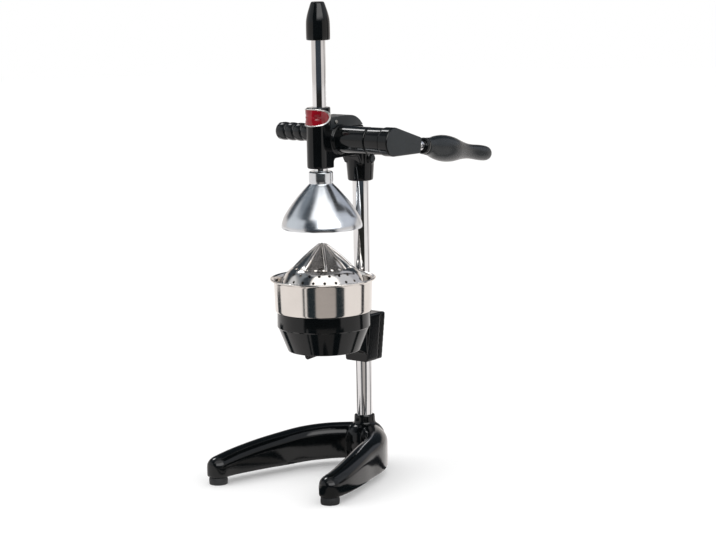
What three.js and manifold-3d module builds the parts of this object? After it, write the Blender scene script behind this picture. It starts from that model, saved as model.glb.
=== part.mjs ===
// Lever citrus press: a plunger driven by rack and pinion over a strainer, basin and juice bowl.
// Millimetres, +Z up. The origin is on the table, on the axis of the column.
// -Y is the front, where the glass stands, and +X is the side with the lever.

import * as THREE from 'three';
import { mergeVertices } from 'three/addons/utils/BufferGeometryUtils.js';
import Module from 'manifold-3d';

const wasm = await Module();
wasm.setup();

// Driving dimensions

const plungerReach = 74; // column axis to plunger axis
const shaftHeight = 393.6; // axis of the lever's shaft above the table
const pressStroke = 52; // travel of the plunger from rest to fully down
const columnRadius = 9.6;
const rodRadius = 8;
const seatGap = 0.3; // clearance where one piece sits in or on another
const cutOverrun = 2; // how far a cutting tool runs past the face it cuts

// Rack and pinion

const toothModule = 2;
const pinionTeeth = 16;
const pressureAngle = 20 * Math.PI / 180;
const flankPlay = 0.25;
const rackTipOffset = 7.2; // rod axis to the tips of the rack
const rackAddendumShare = 0.9;
const dedendumShare = 1.25;
const pinionWidth = 12;
const pitchRadius = toothModule * pinionTeeth / 2;
const toothPitch = Math.PI * toothModule;
const rackPitchOffset = rackTipOffset - rackAddendumShare * toothModule;
const shaftSetback = plungerReach - rackPitchOffset - pitchRadius; // column axis to shaft axis
const pinionTipRadius = pitchRadius + toothModule;
const pinionRootRadius = pitchRadius - dedendumShare * toothModule;

// Shaft and bushes

const shaftRadius = 7;
const bushWall = 2.4;
const keySide = 4;
const keyLength = 11;
const bushInnerRadius = shaftRadius + seatGap;
const bushOuterRadius = bushInnerRadius + bushWall;
const bushBoreRadius = bushOuterRadius + seatGap;
const longBushLength = 16;

// Head casting

const sleeveRadius = 12.4;
const sleeveStretch = 5; // how far the sleeve's section is drawn out to the front
const sleeveDrop = 32.1; // shaft axis down to the sleeve's lower end
const sleeveRise = 37.7; // shaft axis up to the sleeve's upper end
const sleeveBottom = shaftHeight - sleeveDrop;
const sleeveTop = shaftHeight + sleeveRise;
const rodClearance = 0.3;
const sleeveBoreRadius = rodRadius + rodClearance;
const headHalfWidth = sleeveRadius;
const housingWall = 2.8; // metal below the pinion's cavity
const cavityClearance = 0.8;
const cavityRadius = pinionTipRadius + cavityClearance;
const cavityHalfWidth = pinionWidth / 2 + cavityClearance;
const shelfRise = 12.7; // shaft axis up to the shelf that the gear cover sits on
const shelfHeight = shaftHeight + shelfRise;
const archHeight = shaftHeight - cavityRadius - housingWall;
const webFillet = 11;
const webTail = 3; // how far forward of the sleeve's back the web's edge stands
const socketTopRadius = 16.8;
const socketBottomRadius = 14.8;
const socketDrop = 53.8; // shaft axis down to the socket's lower end
const socketBottom = shaftHeight - socketDrop;
const socketCrownRise = 3;
const socketCrownHeight = shaftHeight + socketCrownRise;
const columnTopDrop = 9.6; // shaft axis down to the column's upper end
const columnTop = shaftHeight - columnTopDrop;
const drumRadius = 15.5;
const drumEnd = 56.8; // head's middle plane to the outer face of the bearing drum
const edgeChamfer = 1.2;
const gripBossRadius = 14;
const gripBossEnd = 20;
const setScrewDrop = 27.6; // shaft axis down to the screw's axis
const setScrewHeight = shaftHeight - setScrewDrop;
const setScrewPadRadius = 6.5;
const setScrewPadEnd = 17.4;
const setScrewRadius = 3;
const setScrewHeadRadius = 4.2;
const setScrewHeadHeight = 1.6;
const drumCollarRadius = 16.8;
const drumCollarWidth = 2.2;

// Gear cover

const coverWall = 2.3;
const coverHeight = 12.8;
const coverFlatRear = 35; // column axis to where the flat roof begins to fall
const coverRearSetback = 10; // column axis to the cover's rear end
const coverFallShare = 0.6; // shape of the falling curve
const coverLugHalfLength = 5.5;
const coverScrewRadius = 1.5;
const coverScrewHeadRadius = 2.2;
const coverScrewHeadHeight = 1.5;
const coverScrewLength = 4.6;
const coverScrewRise = 7.6; // shelf to screw axis
const coverScrewBehind = 13.5; // plunger axis back to screw axis
const coverScrewSetback = plungerReach - coverScrewBehind;

// Badge

const badgeHalfLength = 29;
const badgeHalfHeight = 10.6;
const badgeThickness = 0.8;
const badgeTopMargin = 0.3;

// Lever

const hubGap = 0.5; // running gap between the drum and the lever's hub
const hubStart = drumEnd + hubGap;
const eyeRadius = 16.6;
const armThickness = 14;
const armFace = 91; // head's middle plane to the arm's outer face
const armLength = 51;
const armEndHalfHeight = 9.2;
const armBevel = 1.4;
const leverDroop = 9.5 * Math.PI / 180; // how far the resting lever hangs below level
const shaftEndWall = 6; // metal left between the shaft's end and the arm's face
const hubScrewRadius = 4;
const stemRadius = 4;
const stemGrasp = 15; // thread of the stem inside the arm
const neckNutRadius = 6.3;
const neckNutLength = 8.7;
const collarRadius = 9.6;
const collarLength = 6.6;
const gripLength = 128.5;
const gripRadius = 15.4;
const gripNeckShare = 0.56; // neck of the grip as a share of its largest radius
const stemEndCover = 11; // solid end of the grip beyond the stem

// Steadying handle on the left of the head

const handleRise = 5.2; // shaft axis up to the handle's axis
const studRadius = 5;
const studGrasp = 5.4;
const lockNutRadius = 9.8;
const lockNutThickness = 5.9;
const sideGripLength = 50.5;
const sideGripRadius = 10.6;
const sideGripGroove = 1.7;
const sideGripRibs = 4;
const sideGripEndCover = 7;

// Plunger rod, its cap and the bell

const rodRise = 147.4; // shaft axis up to the rod's upper end
const rodTop = shaftHeight + rodRise;
const rodDrop = 46.3; // shaft axis down to the rod's lower end
const rodBottom = shaftHeight - rodDrop;
const capGrasp = 33.5; // how far the cap reaches down the rod
const capCrown = 10; // solid end of the cap above the rod
const capBottom = rodTop - capGrasp;
const capTop = rodTop + capCrown;
const capRadius = 13.6;
const capTipRadius = 7.4;
const bellNeckGrasp = 10.7; // how far the rod reaches into the bell's neck
const bellNeckLength = 15;
const bellNeckRadius = 13.8;
const bellDepth = 50; // shoulder to rim
const bellRimRadius = 46.5;
const bellWall = 2.8;
const bellHubThickness = 10.3; // metal between the rod's end and the washer
const bellHubRadius = 11;
const bellNeckTop = rodBottom + bellNeckGrasp;
const bellShoulder = bellNeckTop - bellNeckLength;
const bellRimHeight = bellShoulder - bellDepth;
const bellHubHeight = rodBottom - bellHubThickness;
const bellScrewRadius = 4;
const bellScrewHeadRadius = 6.3;
const bellScrewHeadHeight = 4;
const bellScrewDepth = 19; // thread of the screw in the rod
const bellWasherRadius = 8.6;
const washerThickness = 1.5;

// Juice bowl, its arm and the clamp on the column

const bowlDrop = 197.5; // shaft axis down to the bowl's upper edge
const bowlTop = shaftHeight - bowlDrop;
const bowlBandHeight = 17.2;
const bowlBandRadius = 53.5;
const bowlDepth = 45.9;
const bowlBottom = bowlTop - bowlDepth;
const bowlBottomRadius = 41.5;
const bowlWall = 4.2;
const spoutReach = 34; // plunger axis to the tip of the spout
const spoutHalfWidth = 9;
const spoutDrop = 5;
const spoutBoreRadius = 2.4;
const clampTopDrop = 12.2; // bowl's upper edge down to the clamp
const clampLength = 57.5;
const clampTop = bowlTop - clampTopDrop;
const clampBottom = clampTop - clampLength;
const clampTopHalfWidth = 22;
const clampBottomHalfWidth = 16;
const clampFront = 14;
const clampFace = 6.5; // column axis to the casting's rear face
const clampGap = 1;
const clampPlateThickness = 7.5;
const armHalfWidth = 17;
const armTopDrop = 3;
const clampScrewRadius = 2;
const clampScrewHeadRadius = 3.5;
const clampScrewHeadHeight = 3.8;
const clampScrewSink = 4.2; // depth of the recess for a screw's head
const clampScrewDepth = 22;
const clampScrewInset = 13; // from the clamp's top and bottom to the screw axes
const clampScrewEdge = 4.8; // from the clamp's side to the screw axes

// Basin and strainer

const basinRise = 39.3; // bowl's upper edge up to the basin's rim
const basinRimHeight = bowlTop + basinRise;
const basinRimRadius = 60.2;
const basinTopRadius = 55.3;
const basinFootRadius = 52.5;
const basinSpigotRadius = 48.6;
const basinSpigotDepth = 12;
const sheetWall = 1.2;
const basinRimDepth = 3; // height of the rolled rim
const drainRadius = 9;
const drainLip = 6;
const strainerSink = 14; // basin's rim down to the skirt's lower edge
const strainerShoulderRise = 13;
const strainerConeRise = 25.5;
const strainerSkirt = basinRimHeight - strainerSink;
const strainerShoulderHeight = basinRimHeight + strainerShoulderRise;
const strainerTop = strainerShoulderHeight + strainerConeRise;
const strainerPlay = 0.45; // between the skirt's edge and the basin
const basinTaper = basinTopRadius - basinFootRadius;
const skirtShare = (strainerSkirt - bowlTop) / (basinRimHeight - basinRimDepth - bowlTop);
const strainerRadius = basinFootRadius - sheetWall + skirtShare * basinTaper - strainerPlay;
const strainerShoulderRadius = 32;
const holesPerRow = 12;
const strainerHoleRadius = 1.8;
const reamerRibs = 8;
const reamerRibWidth = 2.6;
const reamerRibRise = 2.4;

// Base, feet and the bolt that holds the column

const legClearance = 9; // table to the underside of the casting
const footRadius = 10.6;
const footSpread = 82;
const footForward = 172;
const legTipHeight = 31;
const legHalfWidth = 12.8;
const hubRadius = 24;
const hubTop = 50;
const baseSocketTop = 61;
const baseSocketRadius = 12.2;
const columnSeat = 30;
const boltFloor = 22;
const boltRecessRadius = 13;
const rearFootRadius = 22;
const columnBoltRadius = 5;
const columnBoltHeadRadius = 9.6;
const columnBoltHeadHeight = 6.5;
const columnWasherRadius = 11.6;
const columnWall = 2;
const plugLength = 22;
const footScrewRadius = 2.5;
const footScrewHeadRadius = 4.6;
const footScrewHeadHeight = 3.2;
const footScrewSeat = 4.5; // table to the shoulder under the screw's head
const footScrewGrasp = 13;

// Facets of the round forms

const coarse = 12;
const medium = 16;
const fine = 28;
const strainerSides = 24;
const hexSides = 6;
const weldDistance = 1e-5;

// Materials

const finishes = {
	glossBlack: { color: 0x0c0d0f, roughness: 0.22, metalness: 0.0 },
	satinBlack: { color: 0x2b2d2f, roughness: 0.55, metalness: 0.0 },
	rubber: { color: 0x131314, roughness: 0.8, metalness: 0.0 },
	chrome: { color: 0xd9dadb, roughness: 0.08, metalness: 1.0 },
	steel: { color: 0xa9a9a6, roughness: 0.35, metalness: 1.0 },
	stainless: { color: 0xcfcac4, roughness: 0.15, metalness: 1.0 },
	aluminium: { color: 0xd2d4d6, roughness: 0.22, metalness: 1.0 },
	bronze: { color: 0x9c6a35, roughness: 0.4, metalness: 1.0 },
	badgeRed: { color: 0xa3182c, roughness: 0.3, metalness: 0.2 }
};

// Solids: joining, cutting and the plain forms that the pieces are made of

function solidOf(geometry) {
	const bare = new THREE.BufferGeometry();
	bare.setAttribute('position', geometry.getAttribute('position').clone());
	if (geometry.index) bare.setIndex(geometry.index.clone());
	const welded = mergeVertices(bare, weldDistance);
	const corners = welded.index.array;
	const faces = [];
	for (let i = 0; i < corners.length; i += 3) {
		const [a, b, c] = [corners[i], corners[i + 1], corners[i + 2]];
		if (a !== b && b !== c && c !== a) faces.push(a, b, c);
	}
	return new wasm.Manifold(new wasm.Mesh({
		numProp: 3,
		vertProperties: new Float32Array(welded.getAttribute('position').array),
		triVerts: new Uint32Array(faces)
	}));
}

function geometryOf(solid) {
	const { vertProperties, triVerts } = solid.getMesh();
	const geometry = new THREE.BufferGeometry();
	geometry.setAttribute('position', new THREE.BufferAttribute(new Float32Array(vertProperties), 3));
	geometry.setIndex(new THREE.BufferAttribute(new Uint32Array(triVerts), 1));
	geometry.computeVertexNormals();
	return geometry;
}

function joined(...geometries) {
	return geometryOf(geometries.map(solidOf).reduce((sum, solid) => sum.add(solid)));
}

function cut(body, ...tools) {
	return geometryOf(tools.map(solidOf).reduce((rest, tool) => rest.subtract(tool), solidOf(body)));
}

function common(body, tool) {
	return geometryOf(solidOf(body).intersect(solidOf(tool)));
}

// A profile of [radius, height] pairs turned about the Z axis
function turned(profile, sides = fine) {
	const points = profile.map(([radius, height]) => new THREE.Vector2(radius, height));
	return new THREE.LatheGeometry(points, sides).rotateX(Math.PI / 2);
}

// The same about the X axis and about the Y axis, where height runs along that axis
function turnedAlongX(profile, sides = fine) {
	const points = profile.map(([radius, height]) => new THREE.Vector2(radius, height));
	return new THREE.LatheGeometry(points, sides).rotateZ(-Math.PI / 2);
}

function turnedAlongY(profile, sides = fine) {
	const points = profile.map(([radius, height]) => new THREE.Vector2(radius, height));
	return new THREE.LatheGeometry(points, sides);
}

function rodProfile(radius, low, high, chamfer = 0) {
	if (chamfer === 0) return [[0, low], [radius, low], [radius, high], [0, high]];
	const edge = radius - chamfer;
	return [[0, low], [edge, low], [radius, low + chamfer], [radius, high - chamfer], [edge, high],
		[0, high]];
}

function ringProfile(inner, outer, low, high) {
	return [[inner, low], [outer, low], [outer, high], [inner, high], [inner, low]];
}

function box(lowX, highX, lowY, highY, lowZ, highZ) {
	return new THREE.BoxGeometry(highX - lowX, highY - lowY, highZ - lowZ)
		.translate((lowX + highX) / 2, (lowY + highY) / 2, (lowZ + highZ) / 2);
}

function outline(points) {
	return new THREE.Shape(points.map(([a, b]) => new THREE.Vector2(a, b)));
}

// An outline in the YZ plane given thickness along X
function slabAlongX(shape, lowX, highX, bevel = 0) {
	const settings = { depth: highX - lowX - 2 * bevel, bevelEnabled: bevel > 0, curveSegments: coarse };
	if (bevel > 0) {
		Object.assign(settings, { bevelThickness: bevel, bevelSize: bevel, bevelOffset: -bevel,
			bevelSegments: 1 });
	}
	const turn = new THREE.Matrix4().makeBasis(
		new THREE.Vector3(0, 1, 0), new THREE.Vector3(0, 0, 1), new THREE.Vector3(1, 0, 0));
	return new THREE.ExtrudeGeometry(shape, settings).applyMatrix4(turn).translate(lowX + bevel, 0, 0);
}

// An outline in the XZ plane given thickness along Y
function slabAlongY(shape, lowY, highY) {
	const turn = new THREE.Matrix4().makeBasis(
		new THREE.Vector3(1, 0, 0), new THREE.Vector3(0, 0, 1), new THREE.Vector3(0, -1, 0));
	const settings = { depth: highY - lowY, bevelEnabled: false, curveSegments: coarse };
	return new THREE.ExtrudeGeometry(shape, settings).applyMatrix4(turn).translate(0, highY, 0);
}

// Closed rings of points, all with one count, skinned in order and capped at both ends
function skin(rings) {
	const count = rings[0].length;
	const positions = rings.flat().flatMap((point) => [point.x, point.y, point.z]);
	const faces = [];
	for (let k = 0; k + 1 < rings.length; k++) {
		for (let i = 0; i < count; i++) {
			const [a, b] = [k * count + i, k * count + (i + 1) % count];
			faces.push(a, b, b + count, a, b + count, a + count);
		}
	}
	const last = (rings.length - 1) * count;
	for (let i = 1; i + 1 < count; i++) {
		faces.push(0, i + 1, i);
		faces.push(last, last + i, last + i + 1);
	}
	const geometry = new THREE.BufferGeometry();
	geometry.setAttribute('position', new THREE.Float32BufferAttribute(positions, 3));
	geometry.setIndex(faces);
	return geometry;
}

// The finished scene: nested groups put each piece where it works

const group = new THREE.Group();
const plungerAxis = new THREE.Group();
plungerAxis.position.set(0, -plungerReach, 0);
const shaftAxis = new THREE.Group();
shaftAxis.position.set(0, -shaftSetback, shaftHeight);
const handleAxis = new THREE.Group();
handleAxis.position.set(0, -shaftSetback, shaftHeight + handleRise);
const leverFrame = new THREE.Group();
leverFrame.rotation.x = -leverDroop;
leverFrame.position.x = armFace - armThickness / 2;
const hubFrame = new THREE.Group();
hubFrame.rotation.x = -leverDroop;
shaftAxis.add(leverFrame, hubFrame);
group.add(plungerAxis, shaftAxis, handleAxis);

function addPiece(parent, name, geometry, finish) {
	const mesh = new THREE.Mesh(geometryOf(solidOf(geometry)), new THREE.MeshStandardMaterial(finish));
	mesh.name = name;
	parent.add(mesh);
}

// Base casting: two bowed legs that meet in a hub under the column

const legPath = new THREE.CatmullRomCurve3([
	[0.02, -0.02], [0.2, 0.04], [0.42, 0.14], [0.62, 0.3], [0.745, 0.49], [0.86, 0.66], [0.965, 0.86],
	[1, 1], [1.005, 1 + legHalfWidth / footForward]
].map(([spreadShare, forwardShare]) => new THREE.Vector3(spreadShare * footSpread,
	-forwardShare * footForward, 0)));

function legRing(share, side) {
	const pathLength = legPath.getLength();
	const toTip = (1 - share) * pathLength;
	const nose = toTip < 0 ? 0 : Math.min(1, toTip / legHalfWidth);
	const roundness = Math.sqrt(Math.max(0, 1 - (1 - nose) ** 2));
	const centre = legPath.getPointAt(Math.min(1, share));
	const along = legPath.getTangentAt(Math.min(1, share));
	const across = new THREE.Vector3(-along.y, along.x, 0);
	const noseShare = 0.12 + 0.88 * roundness;
	const swellShare = 1 + 0.12 * (1 - share);
	const half = legHalfWidth * swellShare * noseShare;
	const crestShare = Math.sin(Math.min(1, (1 - share) * 1.25) * Math.PI / 2);
	const crest = legTipHeight + (hubTop - legTipHeight) * crestShare;
	const noseDropShare = 0.7 + 0.3 * roundness;
	const top = legClearance + (crest - legClearance) * noseDropShare;
	const shoulderRise = Math.min(half, (top - legClearance) / 2);
	const ring = [];
	const add = (offset, height) => {
		const point = centre.clone().addScaledVector(across, offset);
		ring.push(new THREE.Vector3(side * point.x, point.y, height));
	};
	add(-half, legClearance);
	add(half, legClearance);
	const steps = 6;
	for (let i = 0; i <= steps; i++) {
		const angle = Math.PI * i / steps;
		add(half * Math.cos(angle), top - shoulderRise + shoulderRise * Math.sin(angle));
	}
	return side > 0 ? ring : ring.reverse();
}

function leg(side) {
	const stations = 12;
	const rings = [];
	for (let k = 0; k <= stations; k++) rings.push(legRing(1 - (1 - k / stations) ** 1.5, side));
	return skin(rings);
}

// Where the front feet stand: one leg half-width behind each nose
const footShare = 1 - legHalfWidth / legPath.getLength();
const footPlace = legPath.getPointAt(footShare);

function footScrewHole(side) {
	return turned(rodProfile(footScrewRadius + seatGap, legClearance - cutOverrun,
		legClearance + footScrewGrasp + seatGap), coarse).translate(side * footPlace.x, footPlace.y, 0);
}

const hubProfile = [
	[0, legClearance], [hubRadius, legClearance], [hubRadius, hubTop * 0.62],
	[hubRadius * 0.93, hubTop * 0.8],
	[hubRadius * 0.75, hubTop * 0.93], [baseSocketRadius, hubTop],
	[baseSocketRadius, baseSocketTop - edgeChamfer],
	[baseSocketRadius - edgeChamfer, baseSocketTop], [0, baseSocketTop]
];
const columnBoreRadius = columnRadius + seatGap;
const base = cut(
	joined(turned(hubProfile), leg(1), leg(-1)),
	turned(rodProfile(columnBoreRadius, columnSeat, baseSocketTop + cutOverrun), medium),
	turned(rodProfile(columnBoltRadius + seatGap, legClearance, columnSeat + cutOverrun), coarse),
	turned(rodProfile(boltRecessRadius, legClearance - cutOverrun, boltFloor), medium),
	footScrewHole(1), footScrewHole(-1)
);
addPiece(group, 'base', base, finishes.glossBlack);

// Feet: two screwed rubber pads in front and a plug foot over the column bolt

const footHeight = legClearance - seatGap;
for (const [name, side] of [['front_right_foot', 1], ['front_left_foot', -1]]) {
	const pad = cut(
		turned([[0, 0], [footRadius - edgeChamfer, 0], [footRadius, edgeChamfer], [footRadius, footHeight],
			[0, footHeight]], medium),
		turned(rodProfile(footScrewHeadRadius + seatGap, -cutOverrun, footScrewSeat), coarse),
		turned(rodProfile(footScrewRadius + seatGap, 0, footHeight + cutOverrun), coarse)
	);
	addPiece(group, name, pad.translate(side * footPlace.x, footPlace.y, 0), finishes.rubber);
	const head = footScrewSeat - seatGap - footScrewHeadHeight;
	addPiece(group, name + '_screw', turned([[0, head], [footScrewHeadRadius, head],
		[footScrewHeadRadius, footScrewSeat - seatGap], [footScrewRadius, footScrewSeat - seatGap],
		[footScrewRadius, legClearance + footScrewGrasp], [0, legClearance + footScrewGrasp]], coarse)
		.translate(side * footPlace.x, footPlace.y, 0), finishes.steel);
}

const washerBottom = boltFloor - seatGap - washerThickness;
const boltHeadTop = washerBottom - seatGap;
const boltHeadBottom = boltHeadTop - columnBoltHeadHeight;
addPiece(group, 'rear_foot', turned([
	[0, 0], [rearFootRadius - edgeChamfer, 0], [rearFootRadius, edgeChamfer],
	[rearFootRadius, footHeight], [boltRecessRadius - seatGap, footHeight],
	[boltRecessRadius - seatGap, boltHeadBottom - seatGap], [0, boltHeadBottom - seatGap]], medium),
	finishes.rubber);

const plugBottom = columnSeat + 2 * seatGap;
const plugTop = plugBottom + plugLength;
addPiece(group, 'column_bolt', joined(
	turned(rodProfile(columnBoltHeadRadius, boltHeadBottom, boltHeadTop), hexSides),
	turned(rodProfile(columnBoltRadius, boltHeadTop - columnBoltHeadHeight / 2, plugTop - seatGap), coarse)
), finishes.steel);
addPiece(group, 'column_washer', turned(ringProfile(columnBoltRadius + seatGap, columnWasherRadius,
	washerBottom,
	washerBottom + washerThickness), medium), finishes.steel);
const tubeBoreRadius = columnRadius - columnWall;
addPiece(group, 'column_plug', turned(ringProfile(columnBoltRadius + seatGap, tubeBoreRadius - seatGap,
	plugBottom,
	plugTop), medium), finishes.steel);
addPiece(group, 'column_tube', turned(ringProfile(tubeBoreRadius, columnRadius, columnSeat + seatGap,
	columnTop), medium), finishes.chrome);

// Juice bowl with its spout, arm and clamp block

const bandBottom = bowlTop - bowlBandHeight;
const spigotBoreRadius = basinSpigotRadius + 2 * seatGap;
const basinFloor = bowlTop + seatGap - basinSpigotDepth;
const bowlStep = basinFloor - cutOverrun; // where the bore for the basin ends
const bowlFloor = bowlBottom + bowlWall;

function clampHalfWidth(height) {
	const share = (height - clampBottom) / (clampTop - clampBottom);
	return clampBottomHalfWidth + (clampTopHalfWidth - clampBottomHalfWidth) * share;
}

function clampOutline(inset = 0) {
	const [low, high] = [clampBottom + inset, clampTop - inset];
	const corner = edgeChamfer * 2;
	const [wide, narrow] = [clampHalfWidth(high), clampHalfWidth(low)];
	return outline([[-narrow + corner, low], [narrow - corner, low],
		[clampHalfWidth(low + corner), low + corner],
		[clampHalfWidth(high - corner), high - corner], [wide - corner, high], [-wide + corner, high],
		[-clampHalfWidth(high - corner), high - corner], [-clampHalfWidth(low + corner), low + corner]]);
}

const bowlOuter = turned([
	[0, bowlBottom], [bowlBottomRadius - edgeChamfer, bowlBottom],
	[bowlBottomRadius, bowlBottom + edgeChamfer],
	[bowlBandRadius - edgeChamfer, bandBottom - edgeChamfer], [bowlBandRadius, bandBottom],
	[bowlBandRadius, bowlTop - edgeChamfer / 2], [bowlBandRadius - edgeChamfer / 2, bowlTop], [0, bowlTop]
]);
const bowlHollow = turned([
	[0, bowlFloor], [bowlBottomRadius - bowlWall, bowlFloor + edgeChamfer],
	[bowlBandRadius - bowlWall * 1.5, bandBottom],
	[bowlBandRadius - bowlWall * 1.5, bowlStep], [spigotBoreRadius, bowlStep],
	[spigotBoreRadius, bowlTop + cutOverrun],
	[0, bowlTop + cutOverrun]
]);
const spoutTipHeight = bowlBottom - spoutDrop;
const spoutRoot = spoutHalfWidth * 1.4;

function spoutRing(y, half, low) {
	const corner = Math.min(half / 2, edgeChamfer * 2);
	const top = bowlBottom + bowlWall / 2;
	return [[-half, top], [-half, low + corner], [-half + corner, low], [half - corner, low],
		[half, low + corner],
		[half, top]].map(([x, z]) => new THREE.Vector3(x, y, z));
}

const spout = skin([
	spoutRing(spoutRoot, spoutHalfWidth * 0.6, bowlBottom - edgeChamfer / 2),
	spoutRing(0, spoutHalfWidth, bowlBottom - spoutDrop * 0.35),
	spoutRing(-spoutReach * 0.55, spoutHalfWidth * 0.85, bowlBottom - spoutDrop * 0.75),
	spoutRing(-spoutReach, spoutBoreRadius + edgeChamfer, spoutTipHeight)
]);
const spoutFall = Math.atan2(bowlFloor - spoutTipHeight - spoutBoreRadius - edgeChamfer, spoutReach);
const spoutBore = turnedAlongY(rodProfile(spoutBoreRadius, -spoutReach * 1.2, spoutReach * 0.1), coarse)
	.rotateX(spoutFall).translate(0, 0, bowlFloor);
const inBowlFrame = (geometry) => geometry.translate(0, -plungerReach, 0);

const bowlRear = plungerReach - bowlBottomRadius; // column axis to the back of the bowl's bottom
const armSide = outline([
	[-bowlRear - bowlWall, bowlBottom + edgeChamfer], [-clampFront, bowlBottom - clampFront],
	[-clampFace, clampBottom + clampFront], [-clampFace, clampTop - armTopDrop],
	[-plungerReach + bowlBandRadius - bowlWall, clampTop - armTopDrop],
	[-plungerReach + bowlBandRadius - bowlWall, bandBottom]
]);

const clampScrewPlaces = [];
for (const height of [clampTop - clampScrewInset, clampBottom + clampScrewInset]) {
	for (const side of [1, -1]) clampScrewPlaces.push([side * (clampHalfWidth(height) - clampScrewEdge),
		height]);
}
const plateFront = clampFace + clampGap;
const plateRear = plateFront + clampPlateThickness;
const clampScrewEnd = plateRear - clampScrewDepth;
const screwSeat = plateRear - clampScrewSink;
const clampScrewHole = ([x, z]) => turnedAlongY([
	[0, clampScrewEnd - seatGap], [clampScrewRadius + seatGap, clampScrewEnd - seatGap],
	[clampScrewRadius + seatGap, screwSeat], [clampScrewHeadRadius + seatGap, screwSeat],
	[clampScrewHeadRadius + seatGap, plateRear + cutOverrun], [0, plateRear + cutOverrun]
], coarse).translate(x, 0, z);
const columnPassage = turned(rodProfile(columnBoreRadius, clampBottom - cutOverrun,
	clampTop + cutOverrun), medium);

const bowl = cut(
	joined(inBowlFrame(bowlOuter), inBowlFrame(spout), slabAlongX(armSide, -armHalfWidth, armHalfWidth),
		slabAlongY(clampOutline(), -clampFront, clampFace)),
	inBowlFrame(bowlHollow), inBowlFrame(spoutBore), columnPassage, ...clampScrewPlaces.map(clampScrewHole)
);
addPiece(group, 'juice_bowl', bowl, finishes.glossBlack);
addPiece(group, 'clamp_plate', cut(slabAlongY(clampOutline(seatGap), plateFront, plateRear), columnPassage,
	...clampScrewPlaces.map(clampScrewHole)), finishes.glossBlack);
clampScrewPlaces.forEach(([x, z], index) => addPiece(group, `clamp_screw_${index + 1}`, joined(
	turnedAlongY(rodProfile(clampScrewRadius, clampScrewEnd,
		screwSeat + clampScrewHeadHeight / 2), coarse),
	turnedAlongY(rodProfile(clampScrewHeadRadius, screwSeat + seatGap, screwSeat + clampScrewHeadHeight),
		coarse)
).translate(x, 0, z), finishes.steel));

// Basin: pressed sheet with a rolled rim, a shoulder that rests on the bowl and a drain

const shoulderHeight = bowlTop + seatGap;
const rimBottom = basinRimHeight - basinRimDepth;
addPiece(plungerAxis, 'basin', turned([
	[drainRadius, basinFloor - drainLip], [drainRadius + sheetWall, basinFloor - drainLip],
	[drainRadius + sheetWall, basinFloor - sheetWall], [basinSpigotRadius - sheetWall, basinFloor],
	[basinSpigotRadius, basinFloor + sheetWall], [basinSpigotRadius, shoulderHeight],
	[basinFootRadius, shoulderHeight], [basinTopRadius, rimBottom - sheetWall],
	[basinTopRadius + sheetWall, rimBottom], [basinRimRadius - sheetWall, rimBottom],
	[basinRimRadius, rimBottom + sheetWall], [basinRimRadius, basinRimHeight - sheetWall / 2],
	[basinRimRadius - sheetWall, basinRimHeight],
	[basinTopRadius + sheetWall, basinRimHeight - sheetWall / 2],
	[basinTopRadius - sheetWall, rimBottom], [basinFootRadius - sheetWall, shoulderHeight + sheetWall * 1.2],
	[basinSpigotRadius - sheetWall, shoulderHeight + sheetWall * 0.8],
	[basinSpigotRadius - sheetWall, basinFloor + sheetWall * 1.6],
	[basinSpigotRadius - sheetWall * 2, basinFloor + sheetWall],
	[drainRadius, basinFloor], [drainRadius, basinFloor - drainLip]
]), finishes.stainless);

// Strainer: a perforated skirt that wedges in the basin, under a ribbed cone

const skirtSpread = strainerRadius - strainerShoulderRadius;
const skirtRise = strainerShoulderHeight - strainerSkirt;
const skirtShares = [[0, 1], [0.2, 0.88], [0.46, 0.66], [0.74, 0.39], [1, 0]];
const coneShares = [[0.12, 0.87], [0.51, 0.56], [0.82, 0.29], [0.96, 0.12], [1, 0]];
const strainerOuter = [
	...skirtShares.map(([rise, spread]) => [strainerShoulderRadius + spread * skirtSpread,
	strainerSkirt + rise * skirtRise]),
	...coneShares.map(([rise, spread]) => [spread * strainerShoulderRadius,
	strainerShoulderHeight + rise * strainerConeRise])
];
const strainerInner = strainerOuter.map(([radius, height], i) => {
	if (i === 0) return [radius - sheetWall, height];
	if (i === strainerOuter.length - 1) return [0, height - sheetWall];
	return [Math.max(0, radius - sheetWall * 0.8), height - sheetWall];
}).reverse();

function skirtHoles(share, phase) {
	const upper = Math.floor(share);
	const [low, high] = [strainerOuter[upper], strainerOuter[upper + 1]];
	const radius = low[0] + (high[0] - low[0]) * (share - upper);
	const height = low[1] + (high[1] - low[1]) * (share - upper);
	const tilt = Math.atan2(low[0] - high[0], high[1] - low[1]); // slope of the wall at the row
	const holes = [];
	for (let i = 0; i < holesPerRow; i++) {
		const angle = 2 * Math.PI * (i + phase) / holesPerRow;
		holes.push(turned(rodProfile(strainerHoleRadius, -cutOverrun, cutOverrun), hexSides)
			.rotateY(Math.PI / 2 - tilt).translate(radius, 0, height).rotateZ(angle));
	}
	return holes;
}

function reamerRib(index) {
	const low = strainerOuter.length - 5;
	const [foot, tip] = [strainerOuter[low - 1], strainerOuter[strainerOuter.length - 2]];
	const side = outline([[foot[0], foot[1] - sheetWall / 2], [foot[0], foot[1] + reamerRibRise / 3],
		[foot[0] * 0.7, foot[1] + reamerRibRise + (tip[1] - foot[1]) * 0.36], [tip[0], tip[1]],
		[tip[0], tip[1] - sheetWall]]);
	return slabAlongX(side, -reamerRibWidth / 2,
		reamerRibWidth / 2).rotateZ(2 * Math.PI * index / reamerRibs);
}

const ribs = Array.from({ length: reamerRibs }, (_, index) => reamerRib(index));
addPiece(plungerAxis, 'strainer', cut(
	joined(turned([...strainerInner, ...strainerOuter], strainerSides), ...ribs),
	...skirtHoles(1.5, 0.25), ...skirtHoles(2.5, 0.75)
), finishes.stainless);

// Head casting: guide sleeve, gear housing, column socket, bearing drum and side boss

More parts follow.
